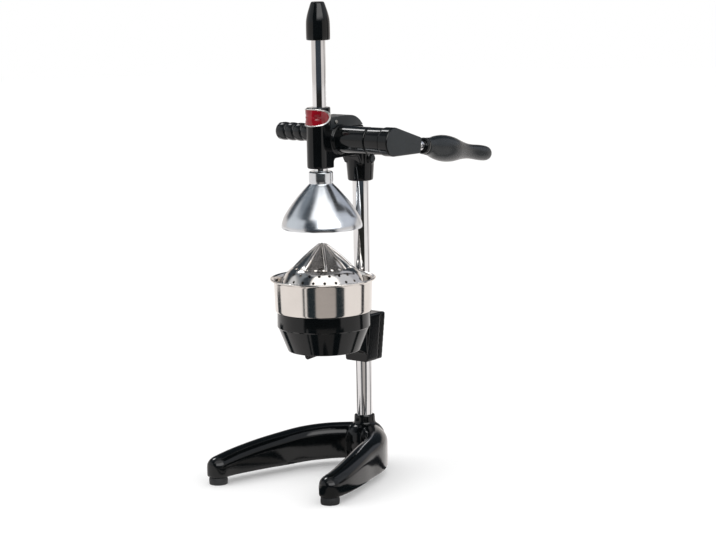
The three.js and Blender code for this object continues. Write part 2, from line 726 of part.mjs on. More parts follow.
function sleeveOutline(grow = 0) {
	const radius = sleeveRadius + grow;
	const shape = new THREE.Shape();
	shape.absarc(0, -sleeveStretch, radius, Math.PI, 2 * Math.PI);
	shape.absarc(0, 0, radius, 0, Math.PI);
	return shape;
}

function sleeveSolid(grow, low, high) {
	return new THREE.ExtrudeGeometry(sleeveOutline(grow),
		{ depth: high - low, bevelEnabled: false, curveSegments: coarse }).translate(0, -plungerReach, low);
}

const sleeveBack = plungerReach - sleeveRadius; // column axis to the back of the sleeve
const webFront = sleeveBack + sleeveRadius / 2;
const webFoot = sleeveBack + webTail; // column axis to the web's edge along the sleeve
const housingSide = new THREE.Shape();
housingSide.moveTo(-plungerReach, sleeveBottom);
housingSide.lineTo(-webFoot, sleeveBottom);
housingSide.absarc(-webFoot + webFillet, archHeight - webFillet, webFillet, Math.PI, Math.PI / 2, true);
housingSide.lineTo(-socketTopRadius - webFillet / 3, archHeight);
housingSide.lineTo(0, archHeight - webFillet / 2);
housingSide.lineTo(0, shelfHeight - shelfRise);
housingSide.lineTo(-coverRearSetback + seatGap, shelfHeight);
housingSide.lineTo(-plungerReach, shelfHeight);
const housing = slabAlongX(housingSide, -headHalfWidth, headHalfWidth);

const cavityFront = -sleeveBack;
const cavityRear = -shaftSetback + cavityRadius;
const rodBore = turned(rodProfile(sleeveBoreRadius, sleeveBottom - cutOverrun, sleeveTop + cutOverrun),
	medium)
	.translate(0, -plungerReach, 0);
const onShaft = (geometry) => geometry.translate(0, -shaftSetback, shaftHeight);
const coverInnerHalfWidth = headHalfWidth - coverWall;
const lugTop = shelfHeight + coverHeight - coverWall - seatGap;
const coverLugs = box(-coverInnerHalfWidth + seatGap, coverInnerHalfWidth - seatGap,
	-webFront, -coverScrewSetback + coverLugHalfLength, shelfHeight - cutOverrun, lugTop);
const coverScrewPlaces = [1, -1].map((side) => [side, -coverScrewSetback, shelfHeight + coverScrewRise]);

function coverScrewHole([side, y, z]) {
	const [near, far] = [headHalfWidth - coverScrewLength - seatGap, headHalfWidth + cutOverrun];
	const profile = rodProfile(coverScrewRadius + seatGap, Math.min(side * near, side * far),
		Math.max(side * near, side * far));
	return turnedAlongX(profile, coarse).translate(0, y, z);
}

const socket = turned([
	[0, socketBottom], [socketBottomRadius - edgeChamfer, socketBottom],
	[socketBottomRadius, socketBottom + edgeChamfer],
	[socketTopRadius, archHeight - webFillet / 2], [socketTopRadius, socketCrownHeight - socketTopRadius / 2],
	[socketTopRadius * 0.9, socketCrownHeight - socketTopRadius / 4],
	[socketTopRadius * 0.6, socketCrownHeight],
	[0, socketCrownHeight]
], medium);
const collarEnd = headHalfWidth + drumCollarWidth;
const aboveShelf = box(-headHalfWidth - seatGap, headHalfWidth + seatGap, -plungerReach, 0, shelfHeight,
	sleeveTop);
const crossTube = cut(
	onShaft(turnedAlongX([
		[0, 0], [drumCollarRadius, 0], [drumCollarRadius, collarEnd - edgeChamfer],
		[drumCollarRadius - edgeChamfer, collarEnd], [drumRadius, collarEnd],
		[drumRadius, drumEnd - edgeChamfer],
		[drumRadius - edgeChamfer, drumEnd], [0, drumEnd]
	])),
	aboveShelf
);
const gripBoss = turnedAlongX([
	[0, -gripBossEnd], [gripBossRadius - edgeChamfer, -gripBossEnd],
	[gripBossRadius, -gripBossEnd + edgeChamfer], [gripBossRadius, 0], [0, 0]
]).translate(0, -shaftSetback, shaftHeight + handleRise / 2);
const studEnd = gripBossEnd - studGrasp;
const leftBushEnd = studEnd - 2 * seatGap;
const headBody = joined(
	sleeveSolid(0, sleeveBottom, sleeveTop),
	housing, socket, crossTube, cut(gripBoss, aboveShelf), coverLugs,
	turnedAlongX(rodProfile(setScrewPadRadius, 0, setScrewPadEnd), coarse).translate(0, 0, setScrewHeight)
);
const head = cut(
	headBody, rodBore,
	turned(rodProfile(columnBoreRadius, socketBottom - cutOverrun, columnTop + seatGap), medium),
	onShaft(turnedAlongX(rodProfile(cavityRadius, -cavityHalfWidth, cavityHalfWidth), medium)),
	box(-cavityHalfWidth, cavityHalfWidth, cavityFront, cavityRear, shaftHeight, lugTop + cutOverrun),
	onShaft(turnedAlongX(rodProfile(bushBoreRadius, -leftBushEnd - seatGap, drumEnd + cutOverrun), medium)),
	onShaft(turnedAlongX(rodProfile(studRadius + seatGap, -gripBossEnd - cutOverrun,
		-studEnd + seatGap), coarse)).translate(0, 0, handleRise),
	turnedAlongX(rodProfile(setScrewRadius + seatGap, 0, setScrewPadEnd + cutOverrun), coarse)
		.translate(0, 0, setScrewHeight),
	...coverScrewPlaces.map(coverScrewHole)
);
addPiece(group, 'head_casting', head, finishes.glossBlack);

addPiece(group, 'head_set_screw', joined(
	turnedAlongX(rodProfile(setScrewRadius, columnRadius + seatGap,
		setScrewPadEnd + setScrewHeadHeight / 2), coarse),
	turnedAlongX(rodProfile(setScrewHeadRadius, setScrewPadEnd + seatGap,
		setScrewPadEnd + seatGap + setScrewHeadHeight),
		hexSides)
).translate(0, 0, setScrewHeight), finishes.satinBlack);

// Gear cover: an arched lid over the pinion, held by screws through its skirt

function coverSide(inset) {
	const seat = shelfHeight + seatGap;
	const floor = inset > 0 ? shelfHeight - cutOverrun : seat;
	const roof = seat + coverHeight - inset;
	const fall = coverFlatRear - coverRearSetback;
	const rear = -coverRearSetback - 2 * inset;
	const shape = new THREE.Shape();
	shape.moveTo(-plungerReach, floor);
	shape.lineTo(rear, floor);
	shape.lineTo(rear, seat);
	shape.quadraticCurveTo(-coverFlatRear + coverFallShare * fall - inset, roof, -coverFlatRear, roof);
	shape.lineTo(-plungerReach, roof);
	return shape;
}

const cover = cut(
	slabAlongX(coverSide(0), -headHalfWidth, headHalfWidth),
	slabAlongX(coverSide(coverWall), -coverInnerHalfWidth, coverInnerHalfWidth),
	sleeveSolid(seatGap, shelfHeight - cutOverrun, sleeveTop + cutOverrun),
	...coverScrewPlaces.map(coverScrewHole)
);
const behindSleeve = box(-2 * headHalfWidth, 2 * headHalfWidth, -webFront, 0, shelfHeight, sleeveTop);
addPiece(group, 'gear_cover', common(cover, behindSleeve), finishes.satinBlack);

coverScrewPlaces.forEach(([side, y, z], index) => {
	const [tip, seat] = [headHalfWidth - coverScrewLength, headHalfWidth + seatGap];
	const screw = turnedAlongX([[0, tip], [coverScrewRadius, tip], [coverScrewRadius, seat],
		[coverScrewHeadRadius, seat], [coverScrewHeadRadius * 0.8, seat + coverScrewHeadHeight],
		[0, seat + coverScrewHeadHeight]], coarse);
	addPiece(group, `cover_screw_${index + 1}`,
		(side > 0 ? screw : screw.rotateZ(Math.PI)).translate(0, y, z),
		finishes.steel);
});

// Badge: an oval plate bent round the front of the sleeve

function onSleeve(arc, height, lift) {
	const quarter = sleeveRadius * Math.PI / 2;
	const [side, distance] = [Math.sign(arc) || 1, Math.abs(arc)];
	const radius = sleeveRadius + lift;
	let x, y;
	if (distance <= quarter) {
		const angle = distance / sleeveRadius;
		[x, y] = [radius * Math.sin(angle), -sleeveStretch - radius * Math.cos(angle)];
	} else if (distance <= quarter + sleeveStretch) {
		[x, y] = [radius, distance - quarter - sleeveStretch];
	} else {
		const angle = (distance - quarter - sleeveStretch) / sleeveRadius;
		[x, y] = [radius * Math.cos(angle), radius * Math.sin(angle)];
	}
	return new THREE.Vector3(side * x, y - plungerReach, height);
}

const badgeColumns = 28;
const badgeCentre = sleeveTop - badgeTopMargin - badgeHalfHeight;
const badgeRings = [];
for (let i = 0; i <= badgeColumns; i++) {
	const angle = Math.PI * (i + 0.25) / (badgeColumns + 0.5) - Math.PI / 2;
	const arc = badgeHalfLength * Math.sin(angle);
	const half = badgeHalfHeight * Math.cos(angle);
	badgeRings.push([[-half, seatGap], [half, seatGap], [half, seatGap + badgeThickness],
		[-half, seatGap + badgeThickness]].map(([rise, lift]) => onSleeve(arc, badgeCentre + rise, lift)));
}
addPiece(group, 'badge', skin(badgeRings), finishes.badgeRed);

// Plunger: rod with its rack, end cap, bell and the screw that holds the bell

const rackFirst = -3;
const rackLast = Math.ceil(pressStroke / toothPitch) + 2;
const rackRootOffset = rackPitchOffset - dedendumShare * toothModule;
const gapHalfWidth = (offset) => (toothPitch / 2 + flankPlay) / 2 + (offset - rackPitchOffset)
	* Math.tan(pressureAngle);
const rackGaps = [];
for (let k = rackFirst; k <= rackLast; k++) {
	const height = shaftHeight + k * toothPitch;
	const [root, tip] = [rackRootOffset, rodRadius + cutOverrun];
	rackGaps.push(slabAlongX(outline([[root, height - gapHalfWidth(root)], [tip, height - gapHalfWidth(tip)],
		[tip, height + gapHalfWidth(tip)], [root, height + gapHalfWidth(root)]]), -rodRadius - cutOverrun,
	rodRadius + cutOverrun));
}
const rackLow = shaftHeight + (rackFirst - 0.5) * toothPitch;
const rackHigh = shaftHeight + (rackLast + 0.5) * toothPitch;
addPiece(plungerAxis, 'plunger_rod', cut(
	turned(rodProfile(rodRadius, rodBottom, rodTop, edgeChamfer), medium),
	box(-rodRadius - cutOverrun, rodRadius + cutOverrun, rackTipOffset, rodRadius + cutOverrun, rackLow,
		rackHigh),
	turned(rodProfile(bellScrewRadius + seatGap, rodBottom - cutOverrun,
		rodBottom + bellScrewDepth + seatGap), coarse),
	...rackGaps
), finishes.chrome);

const capSpan = capTop - capBottom;
const capTaper = capRadius - capTipRadius;
const capShares = [[0.025, 0.03], [0.47, 0], [0.56, 0.07], [0.72, 0.33], [0.87, 0.66], [0.965, 0.9], [1, 1]];
addPiece(plungerAxis, 'rod_cap', turned([
	[0, rodTop + seatGap], [rodRadius + seatGap, rodTop + seatGap], [rodRadius + seatGap, capBottom],
	[capRadius - edgeChamfer, capBottom],
	...capShares.map(([rise, draw]) => [capRadius - draw * capTaper, capBottom + rise * capSpan]), [0, capTop]
], medium), finishes.glossBlack);

const bellSpread = bellRimRadius - bellNeckRadius;
const bellShares = [[0.03, 1], [0.115, 0.98], [0.26, 0.9], [0.4, 0.77], [0.55, 0.615], [0.69, 0.45],
	[0.83, 0.265],
	[0.945, 0.09], [0.985, 0.025]];
const bellOuter = bellShares.map(([rise, spread]) => [bellNeckRadius + spread * bellSpread,
	bellRimHeight + rise * bellDepth]);
const bellInner = bellShares.slice(0, 7).map(([rise, spread]) => [
	bellNeckRadius + spread * bellSpread - bellWall,
		bellRimHeight + rise * (bellHubHeight - bellRimHeight)]).reverse();
const screwBore = bellScrewRadius + seatGap;
const rodSeat = rodBottom - seatGap;
addPiece(plungerAxis, 'press_bell', turned([
	[bellRimRadius - bellWall, bellRimHeight], [bellRimRadius - edgeChamfer / 2, bellRimHeight], ...bellOuter,
	[bellNeckRadius, bellShoulder + edgeChamfer], [bellNeckRadius, bellNeckTop - edgeChamfer],
	[bellNeckRadius - edgeChamfer, bellNeckTop], [rodRadius + seatGap, bellNeckTop],
	[rodRadius + seatGap, rodSeat],
	[screwBore, rodSeat], [screwBore, bellHubHeight], [bellHubRadius, bellHubHeight],
	...bellInner, [bellRimRadius - bellWall, bellRimHeight]
]), finishes.aluminium);

const bellWasherTop = bellHubHeight - seatGap;
const bellHeadTop = bellWasherTop - washerThickness - seatGap;
addPiece(plungerAxis, 'bell_washer', turned(ringProfile(screwBore, bellWasherRadius,
	bellWasherTop - washerThickness,
	bellWasherTop), medium), finishes.steel);
addPiece(plungerAxis, 'bell_screw', joined(
	turned(rodProfile(bellScrewHeadRadius, bellHeadTop - bellScrewHeadHeight, bellHeadTop), hexSides),
	turned(rodProfile(bellScrewRadius, bellHeadTop - bellScrewHeadHeight / 2,
		rodBottom + bellScrewDepth), coarse)
), finishes.steel);

// Pinion with involute teeth, one tooth pointing at the rack

const involute = (angle) => Math.tan(angle) - angle;
const baseRadius = pitchRadius * Math.cos(pressureAngle);
const pitchHalfAngle = (toothPitch / 2 - flankPlay) / 2 / pitchRadius;
const flankSteps = 3;
const flank = [[pinionRootRadius, pitchHalfAngle + involute(pressureAngle)]];
for (let i = 0; i <= flankSteps; i++) {
	const radius = baseRadius + (pinionTipRadius - baseRadius) * i / flankSteps;
	const rollAngle = Math.acos(Math.min(1, baseRadius / radius));
	flank.push([radius, pitchHalfAngle + involute(pressureAngle) - involute(rollAngle)]);
}
const pinionPoints = [];
for (let k = 0; k < pinionTeeth; k++) {
	const middle = Math.PI + 2 * Math.PI * k / pinionTeeth;
	const place = (radius, angle) => pinionPoints.push([radius * Math.cos(angle), radius * Math.sin(angle)]);
	flank.forEach(([radius, half]) => place(radius, middle - half));
	[...flank].reverse().forEach(([radius, half]) => place(radius, middle + half));
}
const keySlot = keySide / 2 + seatGap;
const pinionHalf = pinionWidth / 2;
addPiece(shaftAxis, 'pinion', cut(
	slabAlongX(outline(pinionPoints), -pinionHalf, pinionHalf),
	turnedAlongX(rodProfile(shaftRadius + seatGap, -pinionHalf - cutOverrun, pinionHalf + cutOverrun),
		medium),
	box(-pinionHalf - cutOverrun, pinionHalf + cutOverrun, -keySlot, keySlot, 0, shaftRadius + keySlot)
), finishes.steel);

const shaftStart = -leftBushEnd;
const shaftEnd = armFace - shaftEndWall;
const hubScrewPlace = (hubStart + armFace - armThickness) / 2;
const hubScrewTip = shaftRadius - hubScrewRadius / 4;
addPiece(shaftAxis, 'pinion_shaft', cut(
	turnedAlongX(rodProfile(shaftRadius, shaftStart, shaftEnd, edgeChamfer / 2), medium),
	box(-keyLength / 2 - seatGap, keyLength / 2 + seatGap, -keySlot, keySlot, shaftRadius - keySlot,
		shaftRadius + cutOverrun),
	turned(rodProfile(hubScrewRadius + seatGap, -shaftRadius - cutOverrun, -hubScrewTip + seatGap), coarse)
		.translate(hubScrewPlace, 0, 0).rotateX(-leverDroop)
), finishes.steel);
addPiece(shaftAxis, 'pinion_key', box(-keyLength / 2, keyLength / 2, -keySide / 2, keySide / 2,
	shaftRadius - keySide / 2, shaftRadius + keySide / 2), finishes.steel);

const cavityEdge = cavityHalfWidth + seatGap;
for (const [name, low, high] of [
	['shaft_bush_left', -leftBushEnd, -cavityEdge],
	['shaft_bush_inner', cavityEdge, cavityEdge + longBushLength],
	['shaft_bush_outer', drumEnd - seatGap - longBushLength, drumEnd - seatGap]
]) addPiece(shaftAxis, name, turnedAlongX(ringProfile(bushInnerRadius, bushOuterRadius, low, high), medium),
	finishes.bronze);

// Lever: hub and arm in one casting, neck nut, collar, stem and turned grip

const armStart = armFace - armThickness;
const tangentAngle = Math.asin((eyeRadius - armEndHalfHeight) / armLength);
const armShape = new THREE.Shape();
armShape.absarc(0, 0, eyeRadius, Math.PI / 2 - tangentAngle, 1.5 * Math.PI + tangentAngle);
armShape.lineTo(armLength, -armEndHalfHeight);
armShape.lineTo(armLength, armEndHalfHeight);
const stemLow = armLength - stemGrasp;
const armMiddle = armFace - armThickness / 2;
const leverArm = cut(
	joined(
		turnedAlongX([[0, hubStart], [drumRadius - edgeChamfer, hubStart],
			[drumRadius, hubStart + edgeChamfer],
			[drumRadius, armStart], [drumRadius - edgeChamfer, armStart + edgeChamfer],
			[0, armStart + edgeChamfer]]),
		slabAlongX(armShape, armStart, armFace, armBevel)
	),
	turnedAlongX(rodProfile(shaftRadius + seatGap, hubStart - cutOverrun, shaftEnd + seatGap), medium),
	turned(rodProfile(hubScrewRadius + seatGap, -drumRadius - cutOverrun, 0),
		coarse).translate(hubScrewPlace, 0, 0),
	turnedAlongY(rodProfile(stemRadius + seatGap, stemLow - seatGap, armLength + cutOverrun), coarse)
		.translate(armMiddle, 0, 0)
);
addPiece(hubFrame, 'lever_arm', leverArm, finishes.satinBlack);
addPiece(hubFrame, 'hub_set_screw', turned(rodProfile(hubScrewRadius, -drumRadius + edgeChamfer,
	-hubScrewTip), coarse)
	.translate(hubScrewPlace, 0, 0), finishes.steel);

const neckStart = armLength + seatGap;
const collarStart = neckStart + neckNutLength + seatGap;
const gripStart = collarStart + collarLength + seatGap;
const gripEnd = gripStart + gripLength;
const stemEnd = gripEnd - stemEndCover;
const stemHole = stemRadius + seatGap;
addPiece(leverFrame, 'lever_stem', turnedAlongY(rodProfile(stemRadius, stemLow, stemEnd), coarse),
	finishes.steel);
addPiece(leverFrame, 'neck_nut', turnedAlongY(ringProfile(stemHole, neckNutRadius, neckStart,
	neckStart + neckNutLength),
	medium), finishes.chrome);
addPiece(leverFrame, 'grip_collar', turnedAlongY(ringProfile(stemHole, collarRadius, collarStart,
	collarStart + collarLength), medium), finishes.glossBlack);
const neckRadius = gripRadius * gripNeckShare;
const gripShares = [[0, 0.14], [0.075, 0.36], [0.15, 0.72], [0.235, 0.96], [0.32, 1], [0.405, 0.86],
	[0.475, 0.6],
	[0.55, 0.32], [0.64, 0.04], [0.73, 0], [0.84, 0.06], [0.93, 0.0], [0.975, -0.22], [1, -0.62]];
addPiece(leverFrame, 'lever_grip', turnedAlongY([
	[0, stemEnd + seatGap], [stemHole, stemEnd + seatGap], [stemHole, gripStart],
	...gripShares.map(([along, swell]) => [neckRadius + swell * (gripRadius - neckRadius),
	gripStart + along * gripLength]),
	[0, gripEnd]
], medium), finishes.satinBlack);

// Steadying handle: a stud in the left boss, a locknut and a ribbed grip

const lockNutStart = gripBossEnd + seatGap;
const sideGripStart = lockNutStart + lockNutThickness + seatGap;
const sideGripEnd = sideGripStart + sideGripLength;
const studFar = sideGripEnd - sideGripEndCover;
const studHole = studRadius + seatGap;
addPiece(handleAxis, 'side_grip_stud', turnedAlongX(rodProfile(studRadius, -studFar, -studEnd), coarse),
	finishes.steel);
const lockNutEnd = lockNutStart + lockNutThickness;
addPiece(handleAxis, 'side_grip_locknut', cut(
	turnedAlongX(rodProfile(lockNutRadius, -lockNutEnd, -lockNutStart), hexSides),
	turnedAlongX(rodProfile(studHole, -lockNutEnd - cutOverrun, -lockNutStart + cutOverrun), coarse)
), finishes.steel);
const ribPitch = sideGripLength / sideGripRibs;
const ribShares = [[0, 1], [0.18, 0.25], [0.5, 0], [0.82, 0.25]];
const sideGripProfile = [[0, -sideGripEnd], [sideGripRadius * 0.62, -sideGripEnd],
	[sideGripRadius * 0.87, -sideGripEnd + ribPitch * 0.1]];
for (let rib = 0; rib < sideGripRibs; rib++) {
	for (const [along, depth] of ribShares.slice(rib === 0 ? 1 : 0)) {
		sideGripProfile.push([sideGripRadius - depth * sideGripGroove,
			-sideGripEnd + (rib + along) * ribPitch]);
	}
}
sideGripProfile.push([sideGripRadius - sideGripGroove, -sideGripStart], [studHole, -sideGripStart],
	[studHole, -studFar - seatGap], [0, -studFar - seatGap]);
addPiece(handleAxis, 'side_grip', turnedAlongX(sideGripProfile, medium), finishes.rubber);

export default group;
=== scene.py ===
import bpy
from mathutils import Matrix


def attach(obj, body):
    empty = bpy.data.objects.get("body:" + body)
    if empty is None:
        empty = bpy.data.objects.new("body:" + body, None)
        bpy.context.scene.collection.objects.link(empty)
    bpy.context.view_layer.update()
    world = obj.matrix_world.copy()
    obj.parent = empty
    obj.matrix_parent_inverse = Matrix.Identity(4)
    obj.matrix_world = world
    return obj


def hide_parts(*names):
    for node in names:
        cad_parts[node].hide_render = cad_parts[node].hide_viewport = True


bl_info = {
    "name": "Lever citrus press",
    "version": (1, 0, 0),
    "blender": (4, 5, 0),
    "location": "View3D > Sidebar > Press",
    "description": "Dresses the packed press with smooth castings, turned parts and procedural finishes",
    "category": "Object",
}

import math

import bmesh
import bpy
from mathutils import Matrix, Vector

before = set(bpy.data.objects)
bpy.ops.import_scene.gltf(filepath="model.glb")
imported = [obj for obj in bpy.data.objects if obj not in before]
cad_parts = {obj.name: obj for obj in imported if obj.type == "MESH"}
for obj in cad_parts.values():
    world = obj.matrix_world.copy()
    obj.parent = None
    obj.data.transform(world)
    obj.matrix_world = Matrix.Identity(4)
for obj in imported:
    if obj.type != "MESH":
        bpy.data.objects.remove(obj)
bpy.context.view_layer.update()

MM = 0.001
SMOOTH_ANGLE = math.radians(38)
CRISP_ANGLE = math.radians(30)  # for pieces whose flats should stay flat
FINE, MEDIUM, SMALL = 128, 72, 32  # segments of turned shapes
ARC_SHARE = 0.49  # of an edge that the arc at one of its ends may take

# Places shared with the solids, in millimetres
PLUNGER_Y, SHAFT_Y, SHAFT_Z = -74.0, -52.6, 393.6
PLUNGER = (0, PLUNGER_Y, 0)
SHAFT = (0, SHAFT_Y, SHAFT_Z)
COLUMN_BORE, COLUMN_LOW, COLUMN_TOP = 9.85, 30.3, 384
ROD_RADIUS, ROD_LOW, ROD_TOP = 8, 347.3, 541
STEM_BORE, SHAFT_BORE = 4.3, 7.3
LEVER_DROOP = math.radians(9.5)
LEVER_X = 84.0  # middle plane of the lever
ARM_LENGTH = 51.0

FINISH = {}  # every finish by its key, filled by the finishes step


# Curves and meshes


def rounded(corners, steps=5):
    """A polyline whose corners (a, b, radius) are turned into arcs."""
    points = []
    for i, corner in enumerate(corners):
        here = Vector(corner[:2])
        radius = corner[2] if len(corner) > 2 else 0.0
        if radius == 0.0 or i in (0, len(corners) - 1):
            points.append(tuple(here))
            continue
        before, after = Vector(corners[i - 1][:2]) - here, Vector(corners[i + 1][:2]) - here
        turn = before.angle(after)
        reach = min(radius / math.tan(turn / 2), ARC_SHARE * before.length, ARC_SHARE * after.length)
        start, end = here + before.normalized() * reach, here + after.normalized() * reach
        for k in range(steps + 1):
            t = k / steps
            points.append(tuple((1 - t) ** 2 * start + 2 * t * (1 - t) * here + t * t * end))
    return points


def through(points, steps=6):
    """A smooth curve through the points, ends included."""
    ends = [points[0], *points, points[-1]]
    curve = []
    for i in range(1, len(ends) - 2):
        a, b, c, d = (Vector(p) for p in ends[i - 1 : i + 3])
        for k in range(steps):
            t = k / steps
            curve.append(tuple(0.5 * (2 * b + (c - a) * t + (2 * a - 5 * b + 4 * c - d) * t * t
                                      + (3 * b - a - 3 * c + d) * t ** 3)))
    curve.append(tuple(points[-1]))
    return curve


def mesh_object(name, work):
    """Turns a bmesh in millimetres into an object in metres with its faces pointing out."""
    bmesh.ops.remove_doubles(work, verts=work.verts, dist=1e-4)
    bmesh.ops.recalc_face_normals(work, faces=work.faces)
    bmesh.ops.scale(work, vec=Vector((MM, MM, MM)), verts=work.verts)
    mesh = bpy.data.meshes.new(name)
    work.to_mesh(mesh)
    work.free()
    return link_object(name, mesh)


def link_object(name, data):
    made = bpy.data.objects.new(name, data)
    bpy.context.scene.collection.objects.link(made)
    return made


def join_rings(work, rings, looks=None):
    """Joins rings of vertices with faces. A ring of one vertex is a pole; looks holds material indices."""
    count = max(len(ring) for ring in rings)
    for row, (low, high) in enumerate(zip(rings, rings[1:])):
        for k in range(count):
            n = (k + 1) % count
            loop = [low[k % len(low)], low[n % len(low)], high[n % len(high)], high[k % len(high)]]
            unique = list(dict.fromkeys(loop))
            if len(unique) > 2:
                work.faces.new(unique).material_index = looks[row] if looks else 0


def revolve_into(work, profile, axis="Z", centre=(0, 0, 0), segments=MEDIUM):
    """Adds a turned shape: the profile starts and ends on the axis, or closes on itself."""
    rings = []
    for radius, height in profile:
        ring = []
        for k in range(segments if radius >= 1e-6 else 1):
            angle = math.tau * k / segments
            x, y = radius * math.cos(angle), radius * math.sin(angle)
            local = {"X": (height, x, y), "Y": (x, height, y), "Z": (x, y, height)}[axis]
            ring.append(work.verts.new(Vector(centre) + Vector(local)))
        rings.append(ring)
    join_rings(work, rings)
    return work


def drill_into(work, radius, low, high, axis="Z", centre=(0, 0, 0), segments=MEDIUM):
    """Adds a plain cylinder from low to high along its axis."""
    return revolve_into(work, [(0, low), (radius, low), (radius, high), (0, high)], axis, centre, segments)


def revolve(name, profile, axis="Z", centre=(0, 0, 0), segments=FINE):
    return mesh_object(name, revolve_into(bmesh.new(), profile, axis, centre, segments))


def skin_into(work, rings):
    """Adds a closed skin over rings that all have one count of points."""
    made = [[work.verts.new(point) for point in ring] for ring in rings]
    join_rings(work, made)
    work.faces.new(made[0])
    work.faces.new(made[-1])
    return work


def slab_into(work, outline, low, high, axis="X"):
    """Adds an outline with thickness along X, Y or Z; the outline's axes follow in that order."""
    def place(a, b, depth):
        return {"X": (depth, a, b), "Y": (a, depth, b), "Z": (a, b, depth)}[axis]
    return skin_into(work, [[Vector(place(a, b, depth)) for a, b in outline] for depth in (low, high)])


def evaluated(made):
    """Replaces an object's mesh by what its modifiers make of it, and drops the modifiers."""
    graph = bpy.context.evaluated_depsgraph_get()
    mesh = bpy.data.meshes.new_from_object(made.evaluated_get(graph))
    made.modifiers.clear()
    old, made.data = made.data, mesh
    bpy.data.meshes.remove(old)
    return made


def cast(name, work, grain, passes):
    """A casting: the overlapping shapes become one skin with rounded edges and soft corners."""
    made = mesh_object(name, work)
    remesh = made.modifiers.new("skin", "REMESH")
    remesh.mode, remesh.voxel_size = "VOXEL", grain * MM
    smooth = made.modifiers.new("soften", "SMOOTH")
    smooth.factor, smooth.iterations = 0.5, passes
    return evaluated(made)


def cut(made, work):
    """Takes the shapes in the bmesh away from the object."""
    tool = mesh_object("tool", work)
    step = made.modifiers.new("cut", "BOOLEAN")
    step.operation, step.object, step.solver = "DIFFERENCE", tool, "MANIFOLD"
    evaluated(made)
    bpy.data.objects.remove(tool)
    return made


def bevelled(made, width):
    """Rounds the edges of an object that turn by more than 40 degrees."""
    step = made.modifiers.new("round", "BEVEL")
    step.width, step.segments = width * MM, 4
    step.limit_method, step.angle_limit = "ANGLE", math.radians(40)
    return evaluated(made)


def moved(made, matrix):
    """Moves a piece's mesh; the object stays at the origin."""
    made.data.transform(matrix)
    return made


def ready(made, body, first, replaces=(), sharp=SMOOTH_ANGLE, second=None):
    """Completes a piece: a first finish, a second on faces of index 1, shading, body, replaced nodes."""
    data = made.data
    which = [0] * len(data.polygons)
    if second:
        data.polygons.foreach_get("material_index", which)
    data.materials.clear()
    for key in (first, second) if second else (first,):
        data.materials.append(FINISH[key])
    data.polygons.foreach_set("material_index", which)
    data.polygons.foreach_set("use_smooth", [True] * len(which))
    data.set_sharp_from_angle(angle=sharp)
    data.update()
    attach(made, body)
    if replaces:
        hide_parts(*replaces)
    return made


# Nodes and materials


def linear(colour):
    """An sRGB hex value as the linear colour that shaders read."""
    channels = [int(colour[i : i + 2], 16) / 255 for i in (1, 3, 5)]
    return tuple(c / 12.92 if c <= 0.04045 else ((c + 0.055) / 1.055) ** 2.4 for c in channels)


def add_node(tree, kind, inputs=None, **settings):
    """Adds one node. inputs maps a socket's name or number to a value or to a socket to link from."""
    made = tree.nodes.new(kind)
    for key, value in settings.items():
        setattr(made, key, value)
    for key, value in (inputs or {}).items():
        if isinstance(value, bpy.types.NodeSocket):
            tree.links.new(value, made.inputs[key])
        else:
            made.inputs[key].default_value = value
    return made


def outcome(tree, kind, inputs=None, **settings):
    """Adds one node and gives its first output."""
    return add_node(tree, kind, inputs, **settings).outputs[0]


def math_node(tree, operation, *values):
    return outcome(tree, "ShaderNodeMath", dict(enumerate(values)), operation=operation)


def vector_node(tree, **parts):
    """A vector from the parts X, Y and Z; what is left out is 0."""
    return outcome(tree, "ShaderNodeCombineXYZ", parts)


def new_material(name):
    made = bpy.data.materials.new(name)
    made.use_nodes = True
    made.node_tree.nodes.clear()
    return made, made.node_tree


def stretched_noise(tree, per_mm, stretch=(1, 1, 1), detail=2.0):
    """Noise with the given number of grains per millimetre, stretched along the axes."""
    place = add_node(tree, "ShaderNodeTexCoord").outputs["Object"]
    mapping = outcome(tree, "ShaderNodeMapping", {"Vector": place, "Scale": stretch})
    return add_node(tree, "ShaderNodeTexNoise", {
        "Vector": mapping, "Scale": per_mm / MM, "Detail": detail}).outputs["Fac"]


def spread(tree, source, low, high):
    """A noise mapped to the range from low to high."""
    return outcome(tree, "ShaderNodeMapRange", {"Value": source, "From Min": 0.25, "From Max": 0.75,
                                                "To Min": low, "To Max": high})


def mixed(tree, share, first, second):
    """Mixes two colours, each a linear colour or a socket."""
    ends = [end if isinstance(end, bpy.types.NodeSocket) else (*end, 1.0) for end in (first, second)]
    return add_node(tree, "ShaderNodeMix", {0: share, 6: ends[0], 7: ends[1]}, data_type="RGBA").outputs[2]


METAL = {"Metallic": 1.0}
EVEN = (1, 1, 1)  # noise that isn't stretched
ROUND_Z = (0.03, 0.03, 1.0)  # noise stretched into lines round the vertical axis


def coated(specular):
    return {"IOR": 1.5, "Specular IOR Level": specular}


def finish(name, colour, drift, rough, shader, fine, broad=None, share=1.0, relief=0.0):
    """A finish made of two noises.

    The fine noise, with its grains per mm, stretch and detail, sets the roughness between the two in rough
    and a relief in mm. The broad one, or the fine one again, shifts the colour towards itself times drift,
    by share at most. shader holds the constants on the shader's own sockets.
    """
    made, tree = new_material(name)
    pattern = stretched_noise(tree, *fine)
    clouds = stretched_noise(tree, broad) if broad else pattern
    shifted = mixed(tree, spread(tree, clouds, 0.0, share), colour, [c * drift for c in colour])
    values = {"Base Color": shifted, "Roughness": spread(tree, pattern, *rough), **shader}
    if relief:
        values["Normal"] = outcome(tree, "ShaderNodeBump", {
            "Height": pattern, "Strength": 1.0, "Distance": relief * MM})
    skin = outcome(tree, "ShaderNodeBsdfPrincipled", values)
    add_node(tree, "ShaderNodeOutputMaterial", {"Surface": skin})
    return made


